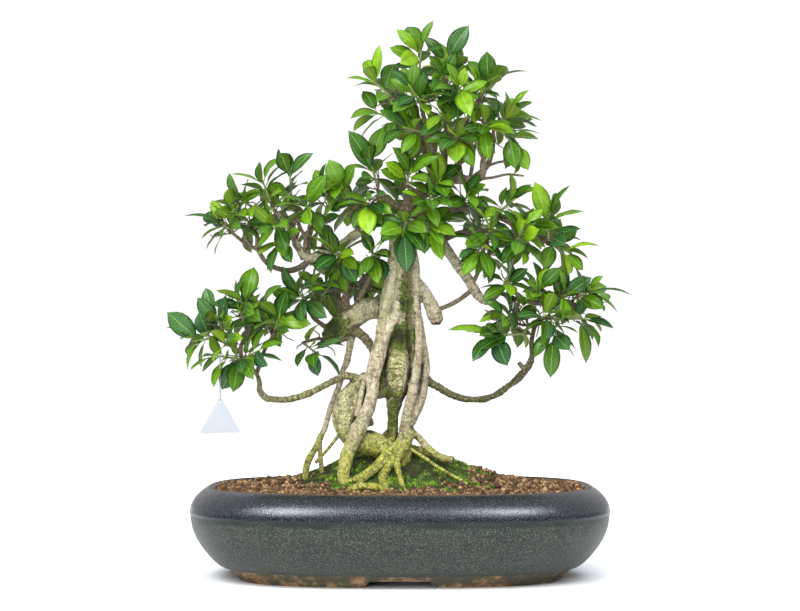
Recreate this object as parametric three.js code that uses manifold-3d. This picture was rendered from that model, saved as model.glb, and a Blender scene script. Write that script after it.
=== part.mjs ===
// Ficus bonsai in an oval glazed pot, in millimetres with +Z up.
// The origin is on the table under the middle of the pot, +X to the right and +Y to the back.

import * as THREE from 'three';
import { mergeVertices } from 'three/addons/utils/BufferGeometryUtils.js';
import Module from 'manifold-3d';

const wasm = await Module();
wasm.setup();

// Driving dimensions of the pot
const POT_HALF_WIDTH = 282;
const POT_HALF_DEPTH = 211;
const POT_HEIGHT = 122.5;
const OVAL_POWER = 2.8;
const POT_SIDES = 30;
const FOOT_HEIGHT = 9;
const FOOT_GAP_WIDTH = 97;
const FOOT_GAP_TOP_WIDTH = 77;
const FOOT_END_GAP_WIDTH = 80;
const FLOOR_TOP = 17.5;
const DRAIN_RADIUS = 14;
const DRAIN_X = 95;
const CLEARANCE = 0.35;

// Driving dimensions of the soil and of the mesh over the drain holes
const SOIL_EDGE = 117;
const ROOT_CLEARANCE = 0.6;
const MOUND_HEIGHT = 50;
const MOUND_CENTRE_Y = 25;
const MOUND_SPREAD_X = 88;
const MOUND_SPREAD_Y = 45;
const DRAIN_MESH_SIZE = 54;
const DRAIN_MESH_THICKNESS = 1.6;
const DRAIN_MESH_BARS = 3;

// Limbs get another side for each of these radii that they exceed, and fewer rings than rows
const LIMB_SIDE_STEPS = [4.5, 9, 15];
const LIMB_DETAIL = 0.65;

// Driving dimensions of the leaves and of the stems that carry them
const PETIOLE = 6;
const LEAF_LENGTH = 39;
const LEAF_WIDTH_RATIO = 0.46;
const BLADE_THICKNESS = 0.7;
const BLADE_ARCH = 0.08;
const STEM_RADIUS = 1.7;
const STEM_SIDES = 3;
const STEM_TAPER = 0.75;
const FORK_RISE = 5;
const TWIG_RADIUS = 2.3;
const TWIG_SIDES = 3;
const LEAF_TRIES = 9;
const LEAF_ROOM = 0.5;
const LEAF_START = 0.12;
const FOOT_START = 0.02;
const FOOT_HALF_WIDTH = 0.55;
const FOOT_MARGIN = 0.12;
const SEED = 11;

// Driving dimensions of the hanging tag
const TAG_WIDTH = 56;
const TAG_HEIGHT = 50;
const TAG_CORNER = 5;
const TAG_THICKNESS = 1.2;
const TAG_HOLE_RADIUS = 2.2;
const TAG_HOLE_DROP = 7;
const LOOP_RADIUS = 0.6;
const LOOP_X = -240;
const LOOP_Y = -36;
const LOOP_BOTTOM = 236.2;
const LOOP_TOP = 299.2;
const LOOP_HALF_GAP = 3.1;

// Limbs: rows of x, y, z and radius, from the base of each outwards
const LIMBS = {
  trunk: [
    [11, 3, 490, 9], [7, 4, 470, 12], [3, 5, 446, 14], [2, 6, 412, 15], [0, 7, 385, 16.5],
    [-2, 8, 358, 18], [-5, 8, 331, 18.5], [-5, 6, 308, 17], [-5, 2, 286, 18.5],
    [-6, 0, 264, 19], [-7, 1, 248, 15.5], [-8, 3, 234, 11], [-9, 6, 214, 7.5], [-10, 8, 194, 7.5],
    [-12, 8, 174, 9], [-14, 8, 150, 10], [-16, 8, 118, 8],
  ],
  right_cord: [
    [18, -4, 440, 5], [22, -6, 410, 5.5], [23, -8, 389, 6], [22, -9, 369, 6], [24, -9, 352, 6.5],
    [28, -9, 335, 7], [31, -9, 317, 7], [33, -9, 298, 7.5], [34, -8, 280, 8], [32, -8, 262, 7.5],
    [29, -8, 244, 7], [24, -8, 228, 8], [16, -9, 214, 8.5], [8, -10, 200, 8.5], [6, -10, 186, 9],
    [4, -8, 170, 12], [0, -6, 150, 14], [0, -6, 122, 10],
  ],
  left_root: [
    [0, -6, 366, 8], [-8, -10, 350, 9], [-18, -13, 331, 9.5], [-26, -16, 311, 10], [-31, -18, 293, 10.5],
    [-36, -20, 270, 10.5], [-37, -22, 250, 8.5], [-40, -24, 234, 8.5], [-47, -26, 216, 9.5],
    [-56, -28, 198, 11], [-64, -29, 180, 10], [-71, -31, 162, 9.5], [-75, -34, 146, 8.5],
    [-75, -38, 130, 8.5], [-76, -42, 110, 7],
  ],
  swollen_root: [
    [-40, -8, 270, 5], [-52, -4, 264, 7], [-61, -2, 252, 12], [-69, 0, 236, 16.5], [-73, 0, 218, 18.5],
    [-71, 0, 202, 18], [-62, 0, 188, 16.5], [-48, 0, 180, 16.5], [-33, 0, 176, 17], [-19, 0, 167, 16],
    [-10, 0, 148, 15], [-8, 0, 118, 12],
  ],
  left_low_branch: [
    [-50, -4, 258, 7], [-60, -5, 266, 6], [-72, -6, 269, 5.2], [-86, -8, 264, 4.8], [-102, -10, 256, 4.5],
    [-120, -13, 247, 4.4], [-136, -15, 241, 4.3], [-152, -17, 238, 4.2], [-170, -18, 238, 4.2],
    [-181, -19, 241, 4], [-188, -20, 250, 3.8], [-189, -20, 262, 3.6], [-192, -20, 272, 3.4],
    [-200, -20, 281, 3.2], [-212, -20, 290, 3],
  ],
  left_low_hub: [
    [-211, -20, 289, 3], [-214, -18, 305, 2.8], [-208, -15, 325, 2.6], [-201, -12, 345, 2.4],
  ],
  left_low_outer: [[-213, -18, 300, 2.8], [-230, -20, 312, 2.5], [-250, -21, 321, 2.2]],
  left_low_inner: [
    [-192, -20, 272, 3], [-187, -19, 290, 2.8], [-180, -16, 308, 2.4], [-172, -12, 322, 2.2],
  ],
  right_low_branch: [
    [30, -2, 270, 8], [40, -2, 261, 6], [52, -3, 254, 5.2], [67, -4, 245, 4.8], [83, -6, 239, 4.6],
    [99, -7, 237, 4.5], [116, -8, 239, 4.5], [133, -8, 246, 4.4], [149, -8, 258, 4.6],
    [163, -8, 270, 5.2], [172, -8, 281, 5.2], [177, -8, 293, 4.6], [178, -8, 304, 4], [177, -9, 316, 3.4],
    [180, -10, 330, 3], [186, -10, 345, 2.6],
  ],
  right_low_stub: [[170, -8, 278, 4.5], [164, -10, 282, 3.6], [160, -12, 287, 2.8]],
  cut_stub: [
    [20, -4, 400, 5], [28, -7, 392, 6], [35, -9, 380, 7.5], [41, -10, 366, 9.5], [46, -11, 352, 10.5],
    [50, -11, 341, 9],
  ],
  stub_twig: [[48, -10, 358, 3], [63, -8, 363, 3], [80, -5, 372, 3.2], [96, -2, 384, 3.4]],
  right_branch: [
    [10, 4, 478, 8], [27, 4, 469, 7.5], [42, 4, 460, 7], [54, 4, 453, 6.8], [62, 3, 442, 6.8],
    [69, 2, 430, 6.8], [80, 0, 415, 7], [92, -1, 400, 7], [99, -2, 387, 7], [107, -3, 376, 6],
    [116, -4, 370, 5.2], [125, -5, 374, 4.6], [134, -5, 382, 4.2], [143, -6, 394, 3.8],
    [149, -6, 412, 3.4], [152, -6, 432, 3],
  ],
  right_branch_twig: [[99, -2, 396, 3], [106, -8, 410, 2.6], [111, -12, 424, 2.4], [113, -14, 442, 2.2]],
  right_outer: [
    [134, -5, 382, 3.8], [152, -6, 374, 3.4], [172, -6, 369, 3], [194, -6, 366, 2.8], [214, -6, 368, 2.4],
    [232, -6, 370, 2.2],
  ],
  right_upper: [
    [14, 2, 492, 6], [34, 0, 488, 5], [57, -4, 490, 4.4], [80, -6, 494, 4], [104, -6, 490, 3.6],
    [128, -6, 484, 3.2], [152, -4, 474, 3], [174, -4, 464, 2.6], [194, -4, 454, 2.4],
  ],
  left_branch: [
    [6, 4, 478, 9], [-8, 4, 480, 8], [-22, 2, 479, 7.5], [-39, 0, 474, 7], [-58, -3, 461, 6.8],
    [-77, -5, 447, 6.8], [-95, -7, 440, 6.8], [-111, -8, 431, 7], [-125, -8, 428, 6.4],
    [-134, -8, 438, 5], [-141, -8, 452, 4.2], [-147, -8, 464, 3.6], [-156, -8, 476, 3.2],
    [-166, -9, 490, 2.8],
  ],
  left_branch_lower: [
    [-118, -8, 428, 5], [-130, -8, 418, 4.4], [-140, -8, 413, 3.8], [-150, -8, 411, 3.6],
    [-162, -8, 413, 3.4], [-173, -8, 417, 3.2], [-182, -8, 424, 3], [-188, -8, 433, 3],
    [-193, -8, 440, 2.8], [-204, -9, 444, 2.6], [-214, -10, 452, 2.2], [-226, -11, 462, 2],
  ],
  left_branch_rise: [
    [-191, -8, 438, 2.6], [-191, -9, 452, 2.4], [-194, -10, 466, 2.2], [-198, -11, 480, 2],
  ],
  left_branch_fork: [[-124, -8, 430, 4], [-124, -4, 446, 3.2], [-121, -2, 460, 2.8], [-116, -2, 478, 2.4]],
  knotted_branch: [
    [-4, 12, 350, 15], [-18, 16, 357, 14.5], [-34, 19, 360, 14.5], [-51, 22, 356, 14.5],
    [-66, 25, 347, 16], [-80, 28, 334, 18.5], [-92, 30, 325, 16], [-102, 31, 318, 9],
  ],
  knotted_arch: [
    [-66, 24, 332, 8], [-54, 20, 325, 6.5], [-44, 14, 316, 6], [-37, 4, 304, 5.5], [-32, -6, 292, 5],
  ],
  knot_twig_left: [[-94, 30, 330, 4], [-106, 28, 338, 3.4], [-118, 24, 348, 2.8], [-126, 18, 362, 2.4]],
  knot_twig_up: [
    [-72, 24, 350, 7], [-74, 24, 372, 5.5], [-72, 22, 390, 4.6], [-74, 18, 408, 3.8], [-76, 12, 424, 3],
  ],
  knot_twig_inner: [[-60, 22, 362, 5], [-50, 20, 384, 4], [-40, 14, 404, 3.2], [-34, 6, 420, 2.6]],
  knot_twig_back: [[-78, 36, 350, 5], [-84, 50, 372, 3.6], [-84, 58, 388, 2.8]],
  hanging_root: [
    [-66, 28, 330, 6], [-67, 29, 316, 5], [-69, 29, 304, 4.4], [-72, 28, 290, 4.2], [-78, 26, 275, 4.2],
    [-82, 23, 259, 4.2], [-88, 18, 242, 4], [-95, 12, 222, 3.8], [-100, 8, 203, 3.8], [-107, 3, 187, 4],
    [-115, -2, 170, 4.4], [-123, -6, 156, 4.8], [-127, -9, 140, 4.8], [-127, -12, 118, 4.6],
    [-127, -14, 100, 4],
  ],
  hanging_root_fork: [
    [-108, 2, 184, 3], [-112, -2, 168, 3.2], [-114, -5, 154, 3.4], [-118, -10, 136, 3.6],
    [-120, -14, 112, 3.4],
  ],
  strut: [[-78, -4, 196, 3], [-88, -3, 182, 2.2], [-101, -3, 166, 2.2], [-114, -4, 152, 2.4]],
  root_front_left: [
    [2, -8, 178, 7], [-12, -15, 169, 6.2], [-24, -22, 158, 5.6], [-36, -29, 146, 5.6], [-48, -35, 137, 5.6],
    [-60, -39, 131, 5.4], [-72, -40, 125, 5],
  ],
  root_front: [
    [6, -8, 172, 8], [-5, -20, 161, 7], [-15, -30, 150, 6.4], [-22, -40, 138, 6.4], [-22, -54, 129, 6],
    [-19, -72, 123, 5.4], [-17, -90, 118, 4.8], [-16, -104, 109, 4],
  ],
  root_front_loop: [
    [-72, -70, 112, 4.6], [-64, -80, 122, 4.6], [-52, -84, 126, 4.8], [-36, -84, 126, 4.8],
    [-22, -82, 122, 4.6], [-8, -86, 115, 4.2], [4, -92, 106, 3.6],
  ],
  root_cut_stub: [
    [6, -8, 204, 4], [16, -9, 195, 4.8], [28, -11, 183, 5], [42, -14, 168, 5.4], [56, -17, 160, 5.6],
    [72, -20, 157, 5.4],
  ],
  root_right_thin: [
    [8, -12, 176, 3], [18, -17, 169, 2.6], [34, -24, 159, 2.4], [54, -32, 146, 2.4], [76, -40, 134, 2.4],
    [92, -46, 124, 2.4], [108, -52, 114, 2.2],
  ],
  root_right_back: [
    [6, 0, 172, 8], [34, 12, 165, 6], [62, 20, 154, 5], [92, 24, 139, 4], [124, 26, 120, 3.4],
  ],
  root_left_back: [
    [-30, 6, 178, 9], [-52, 26, 165, 7.5], [-76, 44, 152, 6], [-102, 58, 137, 5], [-126, 70, 116, 4],
  ],
  root_back: [
    [0, 8, 182, 10], [6, 32, 172, 8.5], [14, 58, 157, 7], [18, 86, 136, 5.6], [22, 110, 112, 4.5],
  ],
  root_back_left: [
    [-14, 8, 190, 8], [-26, 30, 172, 7], [-34, 56, 156, 5.6], [-48, 78, 138, 4.6], [-62, 96, 114, 4],
  ],
  crown_branch: [
    [8, 3, 482, 11], [12, 2, 496, 10.5], [23, 0, 510, 10], [38, -2, 521, 9.2], [55, -4, 531, 8.4],
    [74, -5, 535, 8], [96, -6, 533, 6.6], [110, -7, 540, 5.4], [112, -8, 558, 4.4], [116, -9, 590, 3.4],
  ],
  crown_left_upright: [
    [46, -4, 528, 6], [46, -9, 548, 5], [44, -12, 570, 4.4], [38, -16, 598, 3.8], [30, -19, 624, 3.2],
    [27, -21, 648, 2.8],
  ],
  crown_middle_upright: [
    [60, -4, 532, 5.4], [60, 2, 555, 4.4], [62, 5, 582, 4], [63, 5, 616, 3.4], [62, 4, 648, 2.8],
  ],
  crown_right_upright: [
    [76, -4, 536, 5.4], [80, 4, 560, 4.4], [90, 10, 588, 3.6], [100, 12, 612, 3], [106, 11, 632, 2.6],
  ],
  crown_left_fork: [[40, -14, 588, 3.6], [22, -18, 602, 3.2], [4, -20, 614, 3], [-8, -22, 630, 2.6]],
  crown_right_fork: [[96, -6, 534, 4.4], [116, -6, 550, 3.8], [124, -8, 572, 3.2], [126, -10, 594, 2.6]],
  crown_back_left: [
    [44, -2, 528, 5.6], [40, 20, 550, 4.6], [32, 38, 578, 3.8], [26, 46, 610, 3], [24, 48, 628, 2.6],
  ],
  crown_back_right: [
    [72, -2, 536, 5.6], [78, 24, 556, 4.6], [86, 40, 584, 3.6], [92, 46, 612, 3], [94, 48, 628, 2.6],
  ],
  crown_bare_twig_upper: [
    [112, -8, 546, 2.4], [122, -13, 553, 1.9], [136, -17, 557, 1.6], [156, -19, 557, 1.3],
  ],
  crown_bare_twig_lower: [
    [92, -6, 534, 3], [124, -12, 536, 1.9], [144, -16, 540, 1.6], [166, -18, 538, 1.3],
  ],
  centre_left_riser: [[6, 2, 488, 6], [-6, -6, 498, 4.6], [-20, -12, 508, 3.6], [-28, -15, 518, 2.8]],
  centre_riser: [[14, -2, 494, 6], [18, -12, 506, 4.6], [16, -20, 514, 3.6], [10, -24, 524, 2.8]],
  centre_front: [[8, -6, 470, 6], [8, -16, 474, 4], [10, -24, 480, 3]],
  left_branch_front: [[-56, -6, 464, 4], [-62, -12, 480, 3.2], [-68, -16, 496, 2.6]],
  left_branch_back: [[-50, 2, 470, 4.6], [-54, 18, 482, 3.6], [-58, 34, 492, 2.8]],
  left_branch_end_back: [[-134, -6, 440, 3.6], [-144, 10, 462, 3], [-150, 24, 482, 2.6]],
  back_branch: [[4, 10, 452, 9], [8, 30, 456, 7], [14, 50, 464, 5], [22, 66, 474, 3.8]],
  right_back_branch: [
    [54, 6, 452, 5], [80, 22, 462, 4.2], [108, 32, 466, 3.6], [134, 38, 464, 3], [160, 40, 458, 2.6],
  ],
};

// Limbs that the soil needs room for
const LIMBS_IN_SOIL = [
  'trunk', 'right_cord', 'left_root', 'swollen_root', 'hanging_root', 'hanging_root_fork', 'strut',
  'root_front_left', 'root_front', 'root_front_loop', 'root_cut_stub', 'root_right_thin',
  'root_right_back', 'root_left_back', 'root_back', 'root_back_left',
];

// Leafy shoots: stem base, stem tip, number of leaves, and leaves whose tips have a place of their own.
// Such a leaf is x, y, z of its tip, the turn of its face from up to front in degrees, and its width ratio.
// A name with _fork is a second stem of the shoot before it, and starts at the same base.
const SHOOTS = {
  crown_01: [[27, -22, 675], [27, -26, 710], 7,
    [[45, -30, 745, 30, 0.3], [-4, -32, 733, 60, 0.4], [0, -44, 684, 85, 0.6]]],
  crown_02: [[62, 4, 668], [63, 2, 698], 7,
    [[93, -4, 741, 75, 0.46], [96, -12, 717, 45, 0.36], [32, -8, 725, 70, 0.4]]],
  crown_03: [[108, 10, 642], [124, 5, 668], 7,
    [[117, -6, 706, 85, 0.55], [171, 8, 682, 12, 0.3], [92, 12, 696, 50, 0.45]]],
  crown_04: [[130, -12, 604], [152, -18, 622], 7,
    [[178, -20, 639, 35, 0.36], [190, -20, 612, 20, 0.32], [172, -30, 654, 30, 0.34]]],
  crown_04_fork: [[130, -12, 604], [156, -12, 578], 7,
    [[172, -18, 546, 70, 0.5], [188, -16, 596, 15, 0.3], [154, -30, 548, 80, 0.6]]],
  crown_05: [[-12, -24, 644], [-35, -28, 663], 7,
    [[-72, -32, 694, 25, 0.36], [-28, -28, 713, 15, 0.28], [-73, -24, 668, 20, 0.3]]],
  crown_06: [[-2, -24, 614], [-32, -26, 622], 7,
    [[-81, -30, 629, 20, 0.32], [-66, -38, 612, 35, 0.42], [-60, -38, 634, 80, 0.5]]],
  crown_07: [[30, -36, 632], [14, -54, 654], 7, [[-12, -72, 676, 60, 0.42], [28, -78, 668, 75, 0.34]]],
  crown_08: [[72, -30, 634], [80, -56, 652], 7, [[86, -78, 678, 70, 0.5], [92, -92, 614, 75, 0.48]]],
  crown_09: [[30, -28, 596], [8, -48, 600], 7, [[2, -60, 566, 60, 0.4], [-16, -66, 618, 50, 0.46]]],
  crown_10: [[72, -26, 590], [76, -52, 584], 7,
    [[74, -74, 552, 75, 0.6], [98, -66, 548, 60, 0.44], [62, -84, 594, 60, 0.5]]],
  crown_11: [[108, -22, 600], [114, -46, 604], 7, [[118, -56, 556, 70, 0.4], [136, -66, 622, 50, 0.46]]],
  crown_12: [[22, 54, 638], [8, 78, 656], 7, []],
  crown_13: [[64, 40, 660], [66, 62, 686], 7, []],
  crown_14: [[98, 56, 638], [114, 80, 654], 7, []],
  crown_15: [[58, 58, 600], [54, 88, 602], 7, []],
  crown_16: [[124, 30, 610], [148, 48, 616], 7, []],
  centre_01: [[-31, -16, 526], [-40, -22, 560], 7,
    [[-69, -24, 597, 65, 0.42], [-22, -28, 603, 80, 0.5], [-50, -48, 534, 60, 0.5]]],
  centre_02: [[8, -25, 526], [14, -34, 542], 7,
    [[27, -48, 568, 70, 0.55], [52, -46, 562, 55, 0.36], [-6, -40, 574, 20, 0.3]]],
  centre_03: [[38, -26, 514], [52, -40, 530], 7, [[74, -50, 512, 65, 0.46], [62, -78, 506, 50, 0.5]]],
  centre_04: [[10, -34, 480], [4, -56, 460], 7,
    [[-26, -74, 458, 70, 0.5], [36, -76, 460, 70, 0.5], [9, -60, 408, 85, 0.5]]],
  centre_04_fork: [[10, -34, 480], [44, -36, 468], 6, [[56, -44, 424, 50, 0.42], [74, -44, 456, 40, 0.5]]],
  centre_05: [[-40, -26, 500], [-46, -50, 498], 7, [[-40, -76, 456, 88, 0.52], [-10, -74, 486, 55, 0.5]]],
  centre_06: [[-70, -22, 508], [-78, -44, 524], 7, [[-94, -60, 557, 70, 0.6], [-58, -66, 552, 50, 0.5]]],
  centre_07: [[-60, 44, 500], [-66, 70, 512], 7, []],
  centre_08: [[22, 76, 484], [18, 100, 496], 7, []],
  left_01: [[-174, -10, 502], [-184, -17, 530], 7, [[-199, -22, 571, 80, 0.5], [-227, -20, 540, 15, 0.3]]],
  left_02: [[-147, -10, 508], [-148, -17, 544], 7,
    [[-155, -20, 588, 60, 0.4], [-116, -22, 568, 45, 0.42], [-150, 6, 570, 20, 0.28]]],
  left_03: [[-228, -13, 466], [-240, -15, 474], 6, [[-289, -18, 487, 12, 0.26], [-238, -30, 492, 80, 0.7]]],
  left_03_fork: [[-228, -13, 466], [-218, -30, 494], 7, [[-256, -34, 502, 15, 0.34]]],
  left_04: [[-118, -16, 490], [-124, -42, 496], 7, [[-98, -54, 538, 60, 0.5]]],
  left_05: [[-160, -22, 470], [-168, -46, 470], 7,
    [[-150, -62, 436, 55, 0.46], [-186, -68, 458, 50, 0.46]]],
  left_06: [[-158, 34, 492], [-166, 60, 502], 7, []],
  left_07: [[-202, 12, 474], [-214, 34, 486], 7, []],
  inner_01: [[-78, -4, 430], [-86, -30, 432], 7, [[-112, -52, 412, 55, 0.5]]],
  inner_02: [[-32, -14, 430], [-38, -40, 434], 7, [[-24, -74, 446, 60, 0.5]]],
  inner_03: [[-128, 2, 372], [-134, -24, 380], 7, []],
  inner_04: [[-86, 66, 398], [-92, 90, 406], 7, []],
  lower_left_01: [[-254, -24, 320], [-270, -31, 317], 7,
    [[-311, -32, 355, 80, 0.5], [-288, -34, 306, 25, 0.3], [-268, -42, 356, 75, 0.6]]],
  lower_left_02: [[-236, -24, 328], [-244, -32, 346], 7,
    [[-233, -36, 378, 45, 0.32], [-222, -56, 350, 70, 0.5]]],
  lower_left_03: [[-206, -18, 356], [-206, -34, 366], 7,
    [[-213, -56, 384, 70, 0.36], [-196, -20, 416, 45, 0.5], [-186, -52, 344, 85, 0.56]]],
  lower_left_04: [[-168, -14, 332], [-162, -26, 348], 7,
    [[-148, -44, 330, 85, 0.5], [-152, -32, 384, 50, 0.5]]],
  lower_left_05: [[-212, -28, 292], [-250, -39, 298], 6,
    [[-238, -46, 252, 85, 0.56], [-262, -44, 296, 30, 0.36]]],
  lower_left_05_fork: [[-212, -28, 292], [-190, -42, 303], 7,
    [[-222, -48, 249, 80, 0.5], [-176, -42, 284, 50, 0.46], [-157, -38, 290, 20, 0.3]]],
  lower_left_06: [[-200, 10, 340], [-204, 36, 350], 7, []],
  right_01: [[84, -16, 500], [92, -34, 514], 7, [[108, -44, 540, 45, 0.42], [70, -58, 520, 55, 0.5]]],
  right_02: [[136, -14, 492], [150, -28, 504], 7, [[176, -34, 526, 35, 0.36], [142, -40, 522, 30, 0.34]]],
  right_03: [[200, -14, 452], [198, -18, 482], 7,
    [[180, -26, 529, 65, 0.44], [228, -20, 525, 12, 0.28], [247, -20, 492, 18, 0.32]]],
  right_04: [[156, -24, 446], [162, -48, 452], 7, [[184, -72, 464, 70, 0.5], [166, -76, 476, 60, 0.5]]],
  right_03_fork: [[200, -14, 452], [220, -26, 432], 7,
    [[219, -58, 444, 75, 0.6], [267, -26, 446, 15, 0.3], [246, -34, 412, 45, 0.5]]],
  right_05: [[112, -22, 448], [104, -40, 438], 7, [[78, -48, 427, 35, 0.4], [92, -66, 466, 50, 0.5]]],
  right_06: [[160, 50, 460], [168, 76, 468], 7, []],
  right_07: [[104, 46, 472], [98, 72, 484], 7, []],
  lower_right_01: [[186, -18, 374], [186, -42, 388], 7,
    [[196, -62, 414, 60, 0.5], [166, -66, 372, 55, 0.5]]],
  lower_right_02: [[240, -14, 376], [258, -20, 384], 7,
    [[271, -28, 404, 40, 0.46], [272, -40, 360, 75, 0.56], [311, -24, 380, 12, 0.26]]],
  lower_right_03: [[168, -16, 326], [118, -26, 323], 7,
    [[64, -28, 333, 30, 0.3], [107, -36, 307, 60, 0.44], [143, -44, 284, 80, 0.6]]],
  lower_right_04: [[202, -16, 346], [206, -32, 320], 7,
    [[201, -34, 268, 70, 0.42], [219, -42, 263, 85, 0.6], [224, -62, 304, 75, 0.56]]],
  lower_right_04_fork: [[202, -16, 346], [250, -20, 345], 7,
    [[287, -28, 334, 35, 0.4], [250, -26, 287, 20, 0.3], [298, -22, 352, 40, 0.4]]],
  lower_right_05: [[206, 10, 372], [214, 36, 378], 7, []],
};

// Materials, one for each kind of surface
const MATERIALS = {
  glaze: new THREE.MeshStandardMaterial({ color: 0x2b3438, roughness: 0.3, metalness: 0 }),
  soil: new THREE.MeshStandardMaterial({ color: 0x6a4a35, roughness: 1, metalness: 0 }),
  mesh: new THREE.MeshStandardMaterial({ color: 0x22252a, roughness: 0.7, metalness: 0 }),
  bark: new THREE.MeshStandardMaterial({ color: 0xa39a78, roughness: 0.9, metalness: 0 }),
  leaf: new THREE.MeshStandardMaterial({ color: 0x3f7a24, roughness: 0.45, metalness: 0 }),
  tag: new THREE.MeshStandardMaterial({ color: 0xe9eeee, roughness: 0.4, metalness: 0 }),
  thread: new THREE.MeshStandardMaterial({ color: 0xdfe3e6, roughness: 0.3, metalness: 0 }),
};

const UP = new THREE.Vector3(0, 0, 1);
const FRONT = new THREE.Vector3(0, -1, 0);
const model = new THREE.Group();

// A closed geometry as a solid that can be joined and cut
function solidOf(geometry) {
  geometry.deleteAttribute('normal');
  geometry.deleteAttribute('uv');
  const welded = mergeVertices(geometry, 1e-4);
  const vertProperties = new Float32Array(welded.attributes.position.array);
  const triVerts = new Uint32Array(welded.index.array);
  return new wasm.Manifold(new wasm.Mesh({ numProp: 3, vertProperties, triVerts }));
}

function addMesh(name, solid, material) {
  const { vertProperties, triVerts } = solid.getMesh();
  const geometry = new THREE.BufferGeometry();
  geometry.setAttribute('position', new THREE.BufferAttribute(new Float32Array(vertProperties), 3));
  geometry.setIndex(new THREE.BufferAttribute(new Uint32Array(triVerts), 1));
  geometry.computeVertexNormals();
  const mesh = new THREE.Mesh(geometry, material);
  mesh.name = name;
  model.add(mesh);
}

function joined(solids) {
  return solids.reduce((whole, solid) => whole.add(solid));
}

// The largest body of a solid, without the scraps that a cut leaves
function largestBody(solid) {
  return solid.decompose().reduce((best, body) => (body.volume() > best.volume() ? body : best));
}

// A random number from 0 to 1 that depends only on the keys
function draw(...keys) {
  let hash = 0x9e3779b9 ^ SEED;
  for (const key of keys) {
    hash = Math.imul(hash ^ (key + 0x7f4a7c15), 0x85ebca6b);
    hash ^= hash >>> 13;
  }
  hash = Math.imul(hash ^ (hash >>> 16), 0xc2b2ae35);
  return ((hash ^ (hash >>> 15)) >>> 0) / 4294967296;
}

// The oval plan: a circle of the given radius becomes an oval of that half width
function halfDepthAt(radius) {
  return Math.max(radius - (POT_HALF_WIDTH - POT_HALF_DEPTH), 0.6 * radius);
}

function rounded(value) {
  return Math.sign(value) * Math.abs(value) ** (2 / OVAL_POWER);
}

function ovalLathe(profile) {
  const geometry = new THREE.LatheGeometry(profile.map(([r, z]) => new THREE.Vector2(r, z)), POT_SIDES);
  geometry.rotateX(Math.PI / 2);
  const position = geometry.attributes.position;
  for (let i = 0; i < position.count; i += 1) {
    const x = position.getX(i);
    const y = position.getY(i);
    const radius = Math.hypot(x, y);
    if (radius > 0.01) {
      position.setX(i, radius * rounded(x / radius));
      position.setY(i, halfDepthAt(radius) * rounded(y / radius));
    }
  }
  return geometry;
}

// The inside of the pot from the floor up to the lip, as half width and height
const INSIDE = [[228, FLOOR_TOP], [250, 40], [266, 76], [262, 103], [249, 115]];

function makePot() {
  const profile = [
    [0, FOOT_HEIGHT], [200, FOOT_HEIGHT], [202, 0], [216, 0], [223, 7], [235, 14.5], [246, 22], [257, 33],
    [270, 51], [278, 69], [280, 87.5], [282, 90.5], [279, 101], [271, 112], [258, 121], [251, POT_HEIGHT],
    [248, 120], ...[...INSIDE].reverse(), [0, FLOOR_TOP],
  ];
  let pot = solidOf(ovalLathe(profile));
  const front = new THREE.Shape([
    new THREE.Vector2(-FOOT_GAP_WIDTH / 2, -1), new THREE.Vector2(FOOT_GAP_WIDTH / 2, -1),
    new THREE.Vector2(FOOT_GAP_TOP_WIDTH / 2, FOOT_HEIGHT - 0.2),
    new THREE.Vector2(-FOOT_GAP_TOP_WIDTH / 2, FOOT_HEIGHT - 0.2),
  ]);
  for (const side of [-1, 1]) {
    const gap = new THREE.ExtrudeGeometry(front, { depth: 140, bevelEnabled: false });
    gap.rotateX(Math.PI / 2);
    gap.translate(0, side > 0 ? 240 : -100, 0);
    pot = pot.subtract(solidOf(gap));
    const endGap = new THREE.BoxGeometry(140, FOOT_END_GAP_WIDTH, FOOT_HEIGHT + 0.8);
    endGap.translate(side * 230, 0, FOOT_HEIGHT / 2 - 0.6);
    pot = pot.subtract(solidOf(endGap));
    const drain = new THREE.CylinderGeometry(DRAIN_RADIUS, DRAIN_RADIUS, 40, 12);
    drain.rotateX(Math.PI / 2);
    drain.translate(side * DRAIN_X, 0, 12);
    pot = pot.subtract(solidOf(drain));
  }
  addMesh('pot', pot, MATERIALS.glaze);
}

function groundAt(x, y) {
  const across = (x / MOUND_SPREAD_X) ** 2;
  const along = ((y - MOUND_CENTRE_Y) / MOUND_SPREAD_Y) ** 2;
  return SOIL_EDGE + MOUND_HEIGHT * Math.exp(-(across + along) / 2);
}

function makeSoil(roots) {
  const wall = INSIDE.map(([r, z], row) => [r - CLEARANCE * 1.8, row === 0 ? z + CLEARANCE : z]);
  const top = [190, 128, 84, 44, 0].map((r) => [r, SOIL_EDGE]);
  const geometry = ovalLathe([[0, FLOOR_TOP + CLEARANCE], ...wall, ...top]);
  const position = geometry.attributes.position;
  for (let i = 0; i < position.count; i += 1) {
    if (position.getZ(i) > SOIL_EDGE - 0.01) {
      position.setZ(i, groundAt(position.getX(i), position.getY(i)));
    }
  }
  let soil = solidOf(geometry).subtract(roots);
  for (const side of [-1, 1]) {
    const room = DRAIN_MESH_SIZE + 2 * CLEARANCE;
    const pocket = new THREE.BoxGeometry(room, room, DRAIN_MESH_THICKNESS + 3 * CLEARANCE);
    pocket.translate(side * DRAIN_X, 0, FLOOR_TOP + DRAIN_MESH_THICKNESS / 2 + CLEARANCE);
    soil = soil.subtract(solidOf(pocket));
  }
  addMesh('soil', largestBody(soil), MATERIALS.soil);
}

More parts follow.
